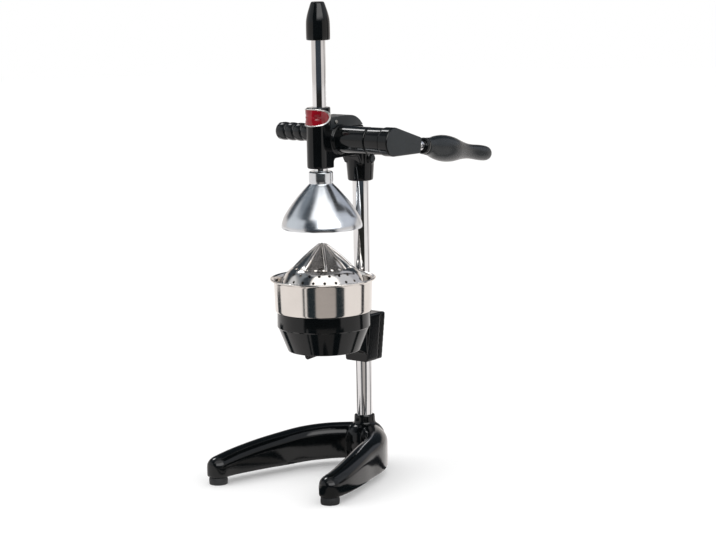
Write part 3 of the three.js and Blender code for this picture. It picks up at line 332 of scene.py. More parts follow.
def stove_enamel(colour, roughness):
    """Black stove enamel over a casting: a wet gloss with a faint orange peel, about 2 mm across."""
    return finish("stove_enamel", colour, 1.6, (roughness * 0.8, roughness * 1.25), coated(0.3),
                  (0.45,), 0.03, 0.6, 0.02)


def satin_enamel(colour):
    """Semi-matt black enamel: a fine pebbled skin that spreads the light, pebbles about 0.8 mm."""
    return finish("satin_enamel", colour, 1.5, (0.3, 0.42), coated(0.4), (1.2, EVEN, 3.0), 0.05, relief=0.04)


def moulded_phenolic(name, colour, low, high):
    """Moulded phenolic: even dark plastic with a soft sheen and a 1 mm mottle."""
    return finish(name, colour, 1.6, (low, high), coated(0.4), (0.9,), share=0.5, relief=0.015)


def black_rubber(colour):
    """Moulded rubber: dull and dark, with a 0.5 mm grain left by the mould."""
    return finish("black_rubber", colour, 1.8, (0.55, 0.75), {"IOR": 1.5}, (2.0, EVEN, 4.0), relief=0.05)


def chrome_plate(name, colour, stretch):
    """Chrome plate on ground steel: a mirror with faint grinding lines round the bar."""
    return finish(name, colour, 0.9, (0.035, 0.09), METAL, (1.6, stretch), 0.06, relief=0.004)


def pressed_stainless(colour):
    """Spun and polished stainless sheet: a warm mirror with fine lines round it, 0.6 mm apart."""
    return finish("pressed_stainless", colour, 0.93, (0.07, 0.15), METAL, (1.6, ROUND_Z, 3.0), 0.04,
                  relief=0.006)


def polished_aluminium(colour):
    """Cast aluminium, turned and buffed: bright, with soft buffing lines round the bell, 0.8 mm apart."""
    return finish("polished_aluminium", colour, 0.88, (0.16, 0.25), METAL, (1.2, (0.04, 0.04, 1.0), 3.0),
                  0.05, relief=0.004)


def machined_metal(name, colour, low, high):
    """Machined metal: unpolished, with tool marks about 0.5 mm apart."""
    return finish(name, linear(colour), 0.7, (low, high), METAL, (2.0, (0.2, 1.0, 1.0), 3.0), relief=0.01)


def vitreous_red(colour):
    """Fired red enamel on the badge: deep and glassy, with slow changes of depth, about 8 mm across."""
    return finish("vitreous_red", colour, 0.55, (0.08, 0.14), coated(0.5), (0.12,))


# Settings


def colour_setting(label, words, colour):
    return bpy.props.FloatVectorProperty(name=label, description=words, default=linear(colour),
                                         subtype="COLOR", size=3, min=0.0, max=1.0)


def length_setting(label, words, default, low, high):
    """A length given in millimetres."""
    return bpy.props.FloatProperty(name=label, description=words, default=default * MM, min=low * MM,
                                   max=high * MM, unit="LENGTH")


class PressFinishes(bpy.types.PropertyGroup):
    enamel: colour_setting("Gloss enamel", "Colour of the gloss castings", "#060809")
    satin: colour_setting("Satin enamel", "Colour of the lever arm's face and the gear cover", "#1b2023")
    grip: colour_setting("Grip", "Colour of the lever's turned grip", "#181c1e")
    rubber: colour_setting("Rubber", "Colour of the feet and the steadying handle", "#0c0e10")
    chrome: colour_setting("Chrome", "Tint of the rod and the column", "#dcdcdd")
    stainless: colour_setting("Stainless", "Tint of the basin and the strainer", "#dad5d0")
    aluminium: colour_setting("Aluminium", "Tint of the bell", "#d5d8dc")
    badge: colour_setting("Badge", "Colour of the badge's field", "#8c0a1c")
    enamel_roughness: bpy.props.FloatProperty(
        name="Enamel roughness", description="Roughness of the gloss enamel", default=0.09, min=0.02, max=1.0,
        subtype="FACTOR")


class PressSizes(bpy.types.PropertyGroup):
    holes_per_row: bpy.props.IntProperty(
        name="Holes per row", description="Strainer holes in each of its rows", default=22, min=6, max=40)
    hole_radius: length_setting("Hole radius", "Radius of a strainer hole", 1.7, 0.5, 3)
    reamer_ribs: bpy.props.IntProperty(
        name="Strainer ribs", description="Ribs on the strainer's cone", default=8, min=4, max=16)
    tooth_module: length_setting("Tooth module", "Module of the rack", 2, 1, 3)
    casting_grain: length_setting(
        "Casting detail", "Size of the steps from which the castings' skins are made", 0.9, 0.5, 2)


class PressStage(bpy.types.PropertyGroup):
    floor: colour_setting("Floor", "Colour of the floor", "#fafafa")
    camera_azimuth: bpy.props.FloatProperty(
        name="Camera azimuth", description="Angle of the camera round the press, from the front",
        default=math.radians(38.13), subtype="ANGLE")
    camera_elevation: bpy.props.FloatProperty(
        name="Camera elevation", description="Angle of the camera above the horizon",
        default=math.radians(8.5), subtype="ANGLE")
    camera_distance: bpy.props.FloatProperty(
        name="Camera distance", description="Distance of the camera from the press", default=2.7993,
        unit="LENGTH")


def grain_of(context, share):
    """The castings' step in millimetres, times share."""
    return context.scene.press_sizes.casting_grain / MM * share


# Base, feet and column


LEG_PATH = [(1.6, 3.4), (16.4, -6.9), (34.4, -24.1), (50.8, -51.6), (61.1, -84.3), (70.5, -113.5),
            (79.1, -147.9), (82.0, -172.0), (82.4, -184.2)]
LEG_HALF = 12.8
LEG_LOW, LEG_TIP, LEG_TOP = 9.0, 31.0, 50.0
# A section is wider at the hub, narrower and lower at the nose. Along the leg the crest falls over a share of
# 1 / CREST_FALL. CROWN shapes the section's rounded top.
HUB_FLARE, NOSE_WIDTH, NOSE_DROP, CREST_FALL, CROWN = 0.12, 0.12, 0.3, 1.25, 0.9
LEG_HOLLOW = (4.0, 0.2, 0.84)  # wall, and the shares of the leg between which it is hollow from below
FOOT, FOOT_TOP = (82.0, -172.0), 8.7
BOLT_POCKET = [(0, 6), (13.2, 6), (13.2, 22), (5.4, 22), (5.4, 31), (0, 31)]


def leg_rings(side, inset=0.0, start=0.0, end=1.0, stations=44, points=22):
    """Sections along one leg, from the hub to the rounded nose."""
    path = [Vector(p) for p in through(LEG_PATH, 16)]
    marks = [0.0]
    for a, b in zip(path, path[1:]):
        marks.append(marks[-1] + (b - a).length)
    total = marks[-1]
    rings = []
    for s in range(stations + 1):
        share = start + (end - start) * (1 - (1 - s / stations) ** 1.6)  # stations lie closer at the nose
        want = share * total
        k = min(max(i for i, mark in enumerate(marks) if mark <= want + 1e-9), len(path) - 2)
        along = path[k + 1] - path[k]
        centre = path[k] + along * min(1.0, (want - marks[k]) / along.length)
        across = Vector((-along.y, along.x)).normalized()
        nose = min(1.0, (total - want) / LEG_HALF)
        roundness = math.sqrt(max(0.0, 1 - (1 - nose) ** 2))
        half = LEG_HALF * (1 + HUB_FLARE * (1 - share)) - inset
        half *= NOSE_WIDTH + (1 - NOSE_WIDTH) * roundness
        crest = LEG_TIP + (LEG_TOP - LEG_TIP) * math.sin(min(1.0, (1 - share) * CREST_FALL) * math.pi / 2)
        top = LEG_LOW + (crest - LEG_LOW) * (1 - NOSE_DROP + NOSE_DROP * roundness) - inset
        bottom = LEG_LOW - (2.0 if inset else 0.0)
        rise = min(half, (top - bottom) / 2)
        ring = [(-half, bottom), (half, bottom)]
        for i in range(points + 1):
            angle = math.pi * i / points
            ring.append((half * math.cos(angle), top - rise + rise * math.sin(angle) ** CROWN))
        rings.append([Vector((side * (centre.x + across.x * a), centre.y + across.y * a, z))
                      for a, z in ring])
    return rings


class PRESS_OT_base(bpy.types.Operator):
    """Casts the base: two bowed legs, the hub and the column's socket"""

    bl_idname = "press.base"
    bl_label = "Base"

    def execute(self, context):
        work, tools = bmesh.new(), bmesh.new()
        for side in (1, -1):
            skin_into(work, leg_rings(side))
        revolve_into(work, rounded([
            (0, LEG_LOW), (24, LEG_LOW, 1), (24.6, 30, 6), (22.5, 41, 6), (18, 47, 5), (12.6, 50.5, 4),
            (12.2, 60.8, 1.2), (0, 61)]))
        made = cast("base_casting", work, grain_of(context, 1.1), 12)
        drill_into(tools, COLUMN_BORE, 30, 64)
        revolve_into(tools, BOLT_POCKET)
        for side in (1, -1):
            skin_into(tools, leg_rings(side, *LEG_HOLLOW, 20, 10))
        ready(cut(made, tools), "frame", "enamel", ("base",))
        return {"FINISHED"}


class PRESS_OT_feet(bpy.types.Operator):
    """Moulds the three rubber feet"""

    bl_idname = "press.feet"
    bl_label = "Feet"

    def execute(self, context):
        for side, node in ((1, "front_right_foot"), (-1, "front_left_foot")):
            pad = revolve(node + "_pad", rounded([
                (4.9, 4.5), (4.9, 0, 0.6), (10.6, 0, 1.4), (10.9, 5, 1), (10.4, FOOT_TOP, 0.8),
                (2.8, FOOT_TOP), (2.8, 4.5), (4.9, 4.5)]),
                centre=(side * FOOT[0], FOOT[1], 0), segments=MEDIUM)
            ready(pad, "frame", "rubber", (node,))
        disc = revolve("rear_foot_disc", rounded([
            (0, 0), (22, 0, 1.6), (22, FOOT_TOP, 1.2), (12.9, FOOT_TOP), (12.9, 12.2, 0.6), (0, 12.2)]))
        ready(disc, "frame", "rubber", ("rear_foot",))
        return {"FINISHED"}


class PRESS_OT_column(bpy.types.Operator):
    """Draws the chromed column tube"""

    bl_idname = "press.column"
    bl_label = "Column"

    def execute(self, context):
        low, high = COLUMN_LOW, COLUMN_TOP
        tube = revolve("column_tube_chromed", rounded([
            (7.6, low), (9.6, low, 0.5), (9.6, high, 0.5), (7.6, high, 0.4), (7.6, low)]))
        ready(tube, "frame", "chrome_z", ("column_tube",))
        return {"FINISHED"}


# Juice bowl, clamp, basin and strainer


BOWL_TOP, BAND_LOW, BOWL_LOW, BOWL_FLOOR = 196.1, 178.9, 150.2, 154.4
CLAMP_LOW, CLAMP_TOP, CLAMP_NARROW, CLAMP_WIDE = 126.4, 183.9, 16.0, 22.0
CLAMP_SCREWS = [(side, height) for height in (170.9, 139.4) for side in (1, -1)]
CLAMP_SCREW_EDGE = 4.8  # from the clamp's side to the screw's axis
CLAMP_FACE = 15.0
CLAMP_GROOVE = (COLUMN_BORE, 120, 196)
SPOUT_FALL = math.radians(9.35)
# The spout's sections, measured from the bowl's underside: place along it, half width, low and top
SPOUT = [(14, 5.5, -1.2, 0), (0, 9, -3, 0), (-19, 7.4, -5.3, -0.8), (-32, 3.8, -6.8, -2)]


def clamp_half(height):
    return CLAMP_NARROW + (CLAMP_WIDE - CLAMP_NARROW) * (height - CLAMP_LOW) / (CLAMP_TOP - CLAMP_LOW)


def clamp_screw_place(side, height, y):
    return side * (clamp_half(height) - CLAMP_SCREW_EDGE), y, height


def clamp_outline(inset=0.0, corner=3.0):
    low, high = CLAMP_LOW + inset, CLAMP_TOP - inset
    narrow, wide = clamp_half(low), clamp_half(high)
    return rounded([(0.0, low), (narrow, low, corner), (wide, high, corner), (-wide, high, corner),
                    (-narrow, low, corner), (0.0, low)])[:-1]


def spout_ring(y, half, low, top):
    low, top = BOWL_LOW + low, BOWL_LOW + top
    arc = [(half * math.cos(math.pi * k / 12), low + (top - low) * (1 - math.sin(math.pi * k / 12)))
           for k in range(13)]
    return [Vector((x, y + PLUNGER_Y, z)) for x, z in [(-half, top + 2), *reversed(arc), (half, top + 2)]]


class PRESS_OT_bowl(bpy.types.Operator):
    """Casts the juice bowl with its spout, its arm and both halves of the clamp"""

    bl_idname = "press.bowl"
    bl_label = "Juice bowl"

    def execute(self, context):
        bowl = revolve("juice_bowl_casting", rounded([
            (0, BOWL_FLOOR), (36, BOWL_FLOOR, 5), (47.2, BAND_LOW, 3), (47.2, 182.0), (49.3, 182.0, 0.4),
            (49.3, BOWL_TOP, 0.5), (53.4, BOWL_TOP, 0.9), (53.7, BAND_LOW, 1.2), (52.6, BAND_LOW - 1.2, 0.5),
            (41.8, BOWL_LOW, 2.2), (0, BOWL_LOW)]), centre=PLUNGER)
        channel = drill_into(bmesh.new(), 2.4, -42, 3, "Y", segments=SMALL)
        drop = Matrix.Translation((0, PLUNGER_Y, BOWL_FLOOR + 0.5)) @ Matrix.Rotation(SPOUT_FALL, 4, "X")
        for vert in channel.verts:
            vert.co = drop @ vert.co
        trough = cast("spout_trough", skin_into(bmesh.new(), [spout_ring(*row) for row in SPOUT]), 0.6, 6)
        ready(cut(trough, channel), "frame", "enamel")
        ready(bowl, "frame", "enamel", ("juice_bowl",))

        arm = bmesh.new()
        slab_into(arm, rounded([
            (-36, 147.4), (-36.5, 151.9, 2), (-24.5, 177.4, 2), (-24.5, 180.9), (-6.5, 180.9),
            (-6.5, 140.4, 3), (-14, 136.2, 4), (-36, 147.4)])[:-1], -17, 17)
        slab_into(arm, clamp_outline(), -14, 6.5, "Y")
        block = cast("bowl_arm", arm, grain_of(context, 0.8), 6)
        ready(cut(block, drill_into(bmesh.new(), *CLAMP_GROOVE)), "frame", "enamel")

        plate = slab_into(bmesh.new(), clamp_outline(0.3), 7.5, CLAMP_FACE, "Y")
        back = cast("clamp_back", plate, 0.7, 5)
        bores = drill_into(bmesh.new(), *CLAMP_GROOVE)
        for side, height in CLAMP_SCREWS:
            drill_into(bores, 3.8, 10.8, 18, "Y", clamp_screw_place(side, height, 0), SMALL)
        ready(cut(back, bores), "frame", "enamel", ("clamp_plate",))
        return {"FINISHED"}


RIM_RISE = 39.3  # of the basin's rim above the bowl


class PRESS_OT_basin(bpy.types.Operator):
    """Spins the stainless basin with its rolled rim and drain"""

    bl_idname = "press.basin"
    bl_label = "Basin"

    def execute(self, context):
        made = revolve("basin_spun", rounded([
            (9.2, -17.5), (10.2, -17.5, 0.4), (10.2, -12.9, 0.8), (47.4, -12.1, 2), (48.6, -10.7, 0.8),
            (48.6, 0.3, 0.4), (55.1, 0.4, 1.0), (55.6, 2.4, 1.0), (56.8, 34.7, 1.6), (57.4, 36.5, 0.9),
            (59.9, 36.4, 0.8), (61.0, 37.5, 0.9), (60.9, 39.1, 0.9), (59.2, RIM_RISE, 0.9), (56.8, 38.5, 1.2),
            (55.6, 35.7, 1.5), (54.0, 1.7, 1), (47.5, 1.3, 0.8), (47.5, -9.7, 1), (46.4, -10.9, 0.8),
            (9.2, -11.7), (9.2, -17.5)], 4), centre=(0, PLUNGER_Y, BOWL_TOP))
        ready(made, "frame", "stainless", ("basin",))
        return {"FINISHED"}


# The strainer's section, as radius and height from the basin's rim: the skirt, then the cone
SKIRT = [(52.8, -14.0), (50.6, -9.0), (46.4, -1.4), (41.2, 6.2), (36.4, 10.6), (32.2, 13.0)]
CONE = [(32.2, 13.0), (28.0, 16.2), (18.0, 25.6), (9.4, 33.2), (4.0, 37.4), (0.0, 38.5)]
RIB = {"Start": (0.0335, 0.0, 0.0112), "Middle": (0.0205, 0.0, 0.0252), "End": (0.0035, 0.0, 0.0377)}
HOLE_ROWS = 3


def open_tree(name, items):
    """Starts a geometry tree and gives it, its input node's sockets and {input name: identifier}."""
    tree = bpy.data.node_groups.new(name, "GeometryNodeTree")
    keys = {}
    for label, (kind, value) in items.items():
        socket = tree.interface.new_socket(name=label, in_out="INPUT", socket_type="NodeSocket" + kind)
        if value is not None:
            socket.default_value = value
        keys[label] = socket.identifier
    tree.interface.new_socket(name="Geometry", in_out="OUTPUT", socket_type="NodeSocketGeometry")
    return tree, add_node(tree, "NodeGroupInput").outputs, keys


def close_tree(tree, geometry, material):
    """Realize Instances and Set Material on the way out."""
    plain = outcome(tree, "GeometryNodeRealizeInstances", {0: geometry})
    painted = outcome(tree, "GeometryNodeSetMaterial", {0: plain, "Material": material})
    add_node(tree, "NodeGroupOutput", {0: painted})


def joined(tree, kind, index, *parts, **settings):
    """Adds a node with several geometries on its one socket."""
    made = add_node(tree, kind, **settings)
    for part in parts:
        tree.links.new(part, made.inputs[index])
    return made.outputs[0]


def without(tree, body, tools):
    return outcome(tree, "GeometryNodeMeshBoolean", {0: body, 1: tools},
                   operation="DIFFERENCE", solver="EXACT")


def ring_of(tree, shape, count, phase=0.0):
    """Instances round the Z axis. phase turns the ring, as a share of one step."""
    spots = outcome(tree, "GeometryNodeMeshLine", {"Count": count, "Offset": (0.0, 0.0, 0.0)})
    place = math_node(tree, "ADD", outcome(tree, "GeometryNodeInputIndex"), phase)
    angle = math_node(tree, "MULTIPLY", math_node(tree, "DIVIDE", place, count), math.tau)
    return outcome(tree, "GeometryNodeInstanceOnPoints", {
        0: spots, "Instance": shape, "Rotation": vector_node(tree, Z=angle)})


def grow(made, opened, values):
    """Runs a geometry tree on an object with its inputs set, and keeps the plain mesh."""
    tree, keys = opened
    step = made.modifiers.new(tree.name, "NODES")
    step.node_group = tree
    for name, value in values.items():
        step[keys[name]] = value
    return evaluated(made)


def strainer_tree():
    """Punches rings of holes in the skirt and adds the ribs of the cone."""
    tree, given, keys = open_tree("strainer_punching", {
        "Shell": ("Geometry", None), "Holes": ("Int", 22), "Hole Radius": ("Float", 0.0017),
        "Row Radius": ("Float", 0.045), "Row Step": ("Float", -0.005), "Row Height": ("Float", -0.001),
        "Row Rise": ("Float", 0.0073), "Ribs": ("Int", 8), "Rib Radius": ("Float", 0.0017),
        "Tilt": ("Float", 0.95), "Material": ("Material", None)})
    body = given["Shell"]
    for row in range(HOLE_ROWS):
        radius = math_node(tree, "MULTIPLY_ADD", given["Row Step"], float(row), given["Row Radius"])
        height = math_node(tree, "MULTIPLY_ADD", given["Row Rise"], float(row), given["Row Height"])
        drill = outcome(tree, "GeometryNodeMeshCylinder", {
            "Vertices": 16, "Radius": given["Hole Radius"], "Depth": 0.006})
        seated = outcome(tree, "GeometryNodeTransform", {
            0: drill, "Translation": vector_node(tree, X=radius, Z=height),
            "Rotation": vector_node(tree, Y=given["Tilt"])})
        ring = ring_of(tree, seated, given["Holes"], 0.5 * (row % 2))
        body = without(tree, body, outcome(tree, "GeometryNodeRealizeInstances", {0: ring}))
    path = outcome(tree, "GeometryNodeCurveQuadraticBezier", {"Resolution": 14, **RIB})
    section = outcome(tree, "GeometryNodeCurvePrimitiveCircle", {
        "Resolution": 12, "Radius": given["Rib Radius"]})
    rib = outcome(tree, "GeometryNodeCurveToMesh", {0: path, 1: section, "Fill Caps": True})
    ribs = ring_of(tree, rib, given["Ribs"])
    close_tree(tree, joined(tree, "GeometryNodeJoinGeometry", 0, body, ribs), given["Material"])
    return tree, keys


class PRESS_OT_strainer(bpy.types.Operator):
    """Presses the strainer: a ribbed cone on a skirt with rows of punched holes"""

    bl_idname = "press.strainer"
    bl_label = "Strainer"

    def execute(self, context):
        sizes = context.scene.press_sizes
        outer = through(SKIRT, 5)[:-1] + through(CONE, 6)
        (edge, low), (_, tip) = outer[0], outer[-1]
        inner = [(max(0.0, radius - 1.0), height - 1.1) for radius, height in outer[1:-1]]
        made = revolve("strainer_pressed", [
            (0.0, tip - 1.2), *reversed(inner), (edge - 1.2, low), *outer])
        grow(made, strainer_tree(), {
            "Holes": sizes.holes_per_row, "Hole Radius": sizes.hole_radius, "Ribs": sizes.reamer_ribs,
            "Material": FINISH["stainless"]})
        moved(made, Matrix.Translation((0, PLUNGER_Y * MM, (BOWL_TOP + RIM_RISE) * MM)))
        ready(made, "frame", "stainless", ("strainer",))
        return {"FINISHED"}


# Head, gear cover and badge


SLEEVE_RADIUS, SLEEVE_STRETCH, SLEEVE_LOW, SLEEVE_TOP = 12.4, 5.0, 361.5, 431.3
# The sleeve's sections: how far they stand out from its radius, and their height
SLEEVE = [(-1.6, SLEEVE_LOW), (-0.5, SLEEVE_LOW + 0.6), (0, SLEEVE_LOW + 2), (0, SLEEVE_TOP - 1),
          (-0.7, SLEEVE_TOP)]
SHELF = 406.3
ROOF = SHELF + 13.1
LID_LOW = SHELF + 0.3
COVER_HALF, COVER_INSIDE = 12.4, 10.1  # half widths of the gear cover
HEAD_SCREW_Z = 366.0
HANDLE_RISE = 5.2  # of the steadying handle's axis above the shaft's
GEAR_WELL, BUSH_BORE = (18.8, -6.8, 6.8), (10, -14.3, 60)  # radius, first and last place along the shaft


def sleeve_ring(grow_by, height, steps=24):
    """A section of the sleeve: two half circles with a straight piece between them."""
    radius = SLEEVE_RADIUS + grow_by
    ring = []
    for start, y in ((math.pi, PLUNGER_Y - SLEEVE_STRETCH), (0.0, PLUNGER_Y)):
        for k in range(steps + 1):
            angle = start + math.pi * k / steps
            ring.append(Vector((radius * math.cos(angle), y + radius * math.sin(angle), height)))
    return ring


class PRESS_OT_head(bpy.types.Operator):
    """Casts the head: guide sleeve, gear housing, column socket and the tube that the shaft runs in"""

    bl_idname = "press.head"
    bl_label = "Head"

    def execute(self, context):
        work = skin_into(bmesh.new(), [sleeve_ring(*row) for row in SLEEVE])
        slab_into(work, rounded([
            (PLUNGER_Y, SLEEVE_LOW), (-64.6, SLEEVE_LOW, 1), (-64.6, 372, 11), (-46, 372, 2), (-20, 372, 6),
            (-14, 361, 3), (0, 361), (0, SHAFT_Z), (-9.7, SHELF), (PLUNGER_Y, SHELF),
            (PLUNGER_Y, SLEEVE_LOW)])[:-1], -SLEEVE_RADIUS, SLEEVE_RADIUS)
        revolve_into(work, rounded([
            (0, 339.8), (14.8, 339.8, 1.5), (16.8, 367, 8), (16.9, 386, 4), (15.4, 393, 4), (10, 396, 4),
            (0, 396.6)]))
        revolve_into(work, rounded([
            (0, -2), (16.8, -2), (16.8, 14.4, 1.4), (15.5, 14.8, 0.4), (15.5, 56.8, 1.6), (0, 56.8)]),
            "X", SHAFT)
        revolve_into(work, rounded([
            (0, -20), (14, -20, 1.5), (14, 0), (0, 0)]), "X", (0, SHAFT_Y, SHAFT_Z + HANDLE_RISE / 2))
        revolve_into(work, rounded([
            (0, 0), (6.5, 0), (6.5, 17.4, 1.2), (0, 17.4)]), "X", (0, 0, HEAD_SCREW_Z), SMALL)
        made = cast("head_body", work, grain_of(context, 0.8), 8)
        tools = drill_into(bmesh.new(), 8.3, 355, 436, centre=PLUNGER)
        drill_into(tools, 9.9, 330, 384.3)
        slab_into(tools, [(-61.6, SHELF), (-10, SHELF), (-10, 440), (-61.6, 440)], -12.7, 12.7)
        cut(made, tools)
        for bore in (GEAR_WELL, BUSH_BORE):
            cut(made, drill_into(bmesh.new(), *bore, "X", SHAFT))
        ready(made, "frame", "enamel", ("head_casting",))
        return {"FINISHED"}


class PRESS_OT_cover(bpy.types.Operator):
    """Casts the arched gear cover behind the sleeve"""

    bl_idname = "press.cover"
    bl_label = "Gear cover"

    def execute(self, context):
        curve = []
        for k in range(13):
            t = k / 12
            curve.append(((1 - t) ** 2 * -35 + 2 * t * (1 - t) * -20 + t * t * -10,
                          (1 - t) ** 2 * ROOF + 2 * t * (1 - t) * ROOF + t * t * (LID_LOW + 0.6)))
        outline = [(-70, LID_LOW), (-10, LID_LOW), *reversed(curve), (-70, ROOF)]
        made = bevelled(mesh_object("gear_cover_lid", slab_into(
            bmesh.new(), outline, -COVER_HALF, COVER_HALF)), 1.3)
        cut(made, slab_into(bmesh.new(), [
            (-72, SHELF - 3), (-15, SHELF - 3), (-15, LID_LOW + 2), (-24, ROOF - 4.2), (-34, ROOF - 2.4),
            (-72, ROOF - 2.3)], -COVER_INSIDE, COVER_INSIDE))
        cut(made, skin_into(bmesh.new(), [sleeve_ring(0.3, SHELF - 4), sleeve_ring(0.3, SLEEVE_TOP + 4)]))
        ready(made, "frame", "satin", ("gear_cover",), CRISP_ANGLE)
        return {"FINISHED"}


def on_sleeve(arc, height, lift):
    """A point on the sleeve's surface, measured along its girth from the front."""
    quarter = SLEEVE_RADIUS * math.pi / 2
    side, distance = (1 if arc >= 0 else -1), abs(arc)
    radius = SLEEVE_RADIUS + lift
    if distance <= quarter:
        angle = distance / SLEEVE_RADIUS
        x, y = radius * math.sin(angle), -SLEEVE_STRETCH - radius * math.cos(angle)
    elif distance <= quarter + SLEEVE_STRETCH:
        x, y = radius, distance - quarter - SLEEVE_STRETCH
    else:
        angle = (distance - quarter - SLEEVE_STRETCH) / SLEEVE_RADIUS
        x, y = radius * math.cos(angle), radius * math.sin(angle)
    return Vector((side * x, PLUNGER_Y + y, height))


BADGE_Z, BADGE_LENGTH, BADGE_HEIGHT, BADGE_STEPS = 420.4, 28.7, 10.4, 96  # half length and half height
# From the badge's middle outwards and back: share of the oval, lift from the sleeve, 0 for field or 1 for rim
BADGE = [(0.0, 0.95, 0), (0.3, 0.95, 0), (0.6, 0.95, 0), (0.8, 0.95, 0), (0.86, 0.93, 0), (0.875, 0.95, 1),
         (0.92, 1.3, 1), (0.95, 1.5, 1), (0.98, 1.35, 1), (1.0, 0.9, 1), (1.0, 0.3, 1), (0.6, 0.3, 1),
         (0.0, 0.3, 1)]


class PRESS_OT_badge(bpy.types.Operator):
    """Bends the oval badge round the front of the sleeve, with its bright rim"""

    bl_idname = "press.badge"
    bl_label = "Badge"

    def execute(self, context):
        work = bmesh.new()
        rings = []
        for share, lift, _ in BADGE:
            ring = []
            for k in range(BADGE_STEPS if share else 1):
                angle = math.tau * k / BADGE_STEPS
                ring.append(work.verts.new(on_sleeve(share * BADGE_LENGTH * math.cos(angle),
                                                     BADGE_Z + share * BADGE_HEIGHT * math.sin(angle), lift)))
            rings.append(ring)
        join_rings(work, rings, [look for _, _, look in BADGE[1:]])
        ready(mesh_object("badge_plate", work), "frame", "red", ("badge",), second="nickel")
        return {"FINISHED"}


# Plunger


RACK_FLAT = 7.2  # from the rod's axis
RACK_GAPS, RACK_BELOW = 15, 3  # tooth gaps, of which so many lie below the shaft at rest
GAP_PLAY = 0.00025  # wider than half a pitch, in metres
CUTTER_DEPTH = 0.008  # of the block that cuts a gap, in metres
PITCH_LINE = 0.0054  # from the rod's axis, in metres


def rack_tree():
    """Cuts the tooth gaps of the rack, one pitch apart, across the flat on the back of the rod."""
    tree, given, keys = open_tree("rack_cutting", {
        "Rod": ("Geometry", None), "Gaps": ("Int", RACK_GAPS), "Pitch": ("Float", 0.00628),
        "First": ("Float", 0.378), "Root": ("Float", 0.0029), "Gap Width": ("Float", 0.0033),
        "Flank Slope": ("Float", 0.364), "Pitch Offset": ("Float", PITCH_LINE),
        "Material": ("Material", None)})
    block = outcome(tree, "GeometryNodeMeshCube", {"Size": (0.02, CUTTER_DEPTH, 1.0)})
    parts = add_node(tree, "ShaderNodeSeparateXYZ", {0: outcome(tree, "GeometryNodeInputPosition")}).outputs
    back = math_node(tree, "ADD", math_node(tree, "ADD", parts["Y"], CUTTER_DEPTH / 2), given["Root"])
    rise = math_node(tree, "SUBTRACT", back, given["Pitch Offset"])
    slope = math_node(tree, "MULTIPLY", rise, given["Flank Slope"])
    half = math_node(tree, "MULTIPLY_ADD", given["Gap Width"], 0.5, slope)
    height = math_node(tree, "MULTIPLY", half, math_node(tree, "SIGN", parts["Z"]))
    shaped = outcome(tree, "GeometryNodeSetPosition", {
        0: block, "Position": vector_node(tree, X=parts["X"], Y=back, Z=height)})
    line = outcome(tree, "GeometryNodeMeshLine", {
        "Count": given["Gaps"], "Start Location": vector_node(tree, Z=given["First"]),
        "Offset": vector_node(tree, Z=given["Pitch"])})
    cutters = outcome(tree, "GeometryNodeInstanceOnPoints", {0: line, "Instance": shaped})
    rod = without(tree, given["Rod"], outcome(tree, "GeometryNodeRealizeInstances", {0: cutters}))
    close_tree(tree, rod, given["Material"])
    return tree, keys


class PRESS_OT_plunger(bpy.types.Operator):
    """Turns the chromed rod with its rack, and the cap on its upper end"""

    bl_idname = "press.plunger"
    bl_label = "Plunger"

    def execute(self, context):
        module = context.scene.press_sizes.tooth_module
        pitch = math.pi * module
        rod = revolve("plunger_rod_chromed", rounded([
            (0, 366.6), (STEM_BORE, 366.6), (STEM_BORE, ROD_LOW), (ROD_RADIUS, ROD_LOW, 0.8),
            (ROD_RADIUS, ROD_TOP, 0.8), (0, ROD_TOP)]))
        low = SHAFT_Z - (RACK_BELOW + 0.5) * pitch / MM
        high = SHAFT_Z + (RACK_GAPS - RACK_BELOW - 0.5) * pitch / MM
        cut(rod, slab_into(bmesh.new(), [
            (RACK_FLAT, low), (10, low), (10, high), (RACK_FLAT, high)], -10, 10))
        grow(rod, rack_tree(), {
            "Gaps": RACK_GAPS, "Pitch": pitch, "First": SHAFT_Z * MM - RACK_BELOW * pitch,
            "Gap Width": pitch / 2 + GAP_PLAY, "Root": PITCH_LINE - 1.25 * module,
            "Material": FINISH["chrome_z"]})
        moved(rod, Matrix.Translation((0, PLUNGER_Y * MM, 0)))
        ready(rod, "plunger", "chrome_z", ("plunger_rod",), CRISP_ANGLE)
        curve = through([(13.2, 507.9), (13.6, 509), (13.7, 518), (13.6, 526), (13.2, 531), (11.8, 537.5),
                         (9.6, 544.5), (8.2, 548.6), (6.9, 550.5), (4.0, 551), (0, 551)], 5)
        cap = revolve("rod_cap_moulded", [
            (0, 541.3), (8.3, 541.3), (8.3, 507.5), (12.6, 507.5), *curve], centre=PLUNGER)
        ready(cap, "plunger", "enamel", ("rod_cap",))
        return {"FINISHED"}


class PRESS_OT_bell(bpy.types.Operator):
    """Turns and buffs the aluminium bell"""

    bl_idname = "press.bell"
    bl_label = "Bell"

    def execute(self, context):
        lip, shoulder, washer = (46.0, 293.0), (14.6, 342.6), (10.8, 337)
        outer = through([lip, (46.5, 294.5), (45.9, 298.8), (43.3, 306.0), (39.0, 313.2), (33.9, 320.5),
                         (28.5, 327.4), (22.4, 334.4), (16.8, 340.4), shoulder])
        neck = rounded([shoulder, (13.5, 344.0, 0.8), (13.9, 346.5, 1.0), (13.9, 356.6, 0.6),
                        (12.6, 358, 0.8), (8.3, 358), (8.3, 347), (STEM_BORE, 347), (STEM_BORE, 337), washer])
        inner = through([washer, (16.6, 332.8), (23.0, 325.4), (29.4, 317.6), (35.2, 309.6), (40.2, 301.6),
                         (42.9, 295.8), (43.8, 293.4), (44.6, 292.9), lip])
        made = revolve("press_bell_turned", [*outer, *neck[1:], *inner[1:]], centre=PLUNGER)
        ready(made, "plunger", "aluminium", ("press_bell",), math.radians(50))
        return {"FINISHED"}


# Lever and steadying handle


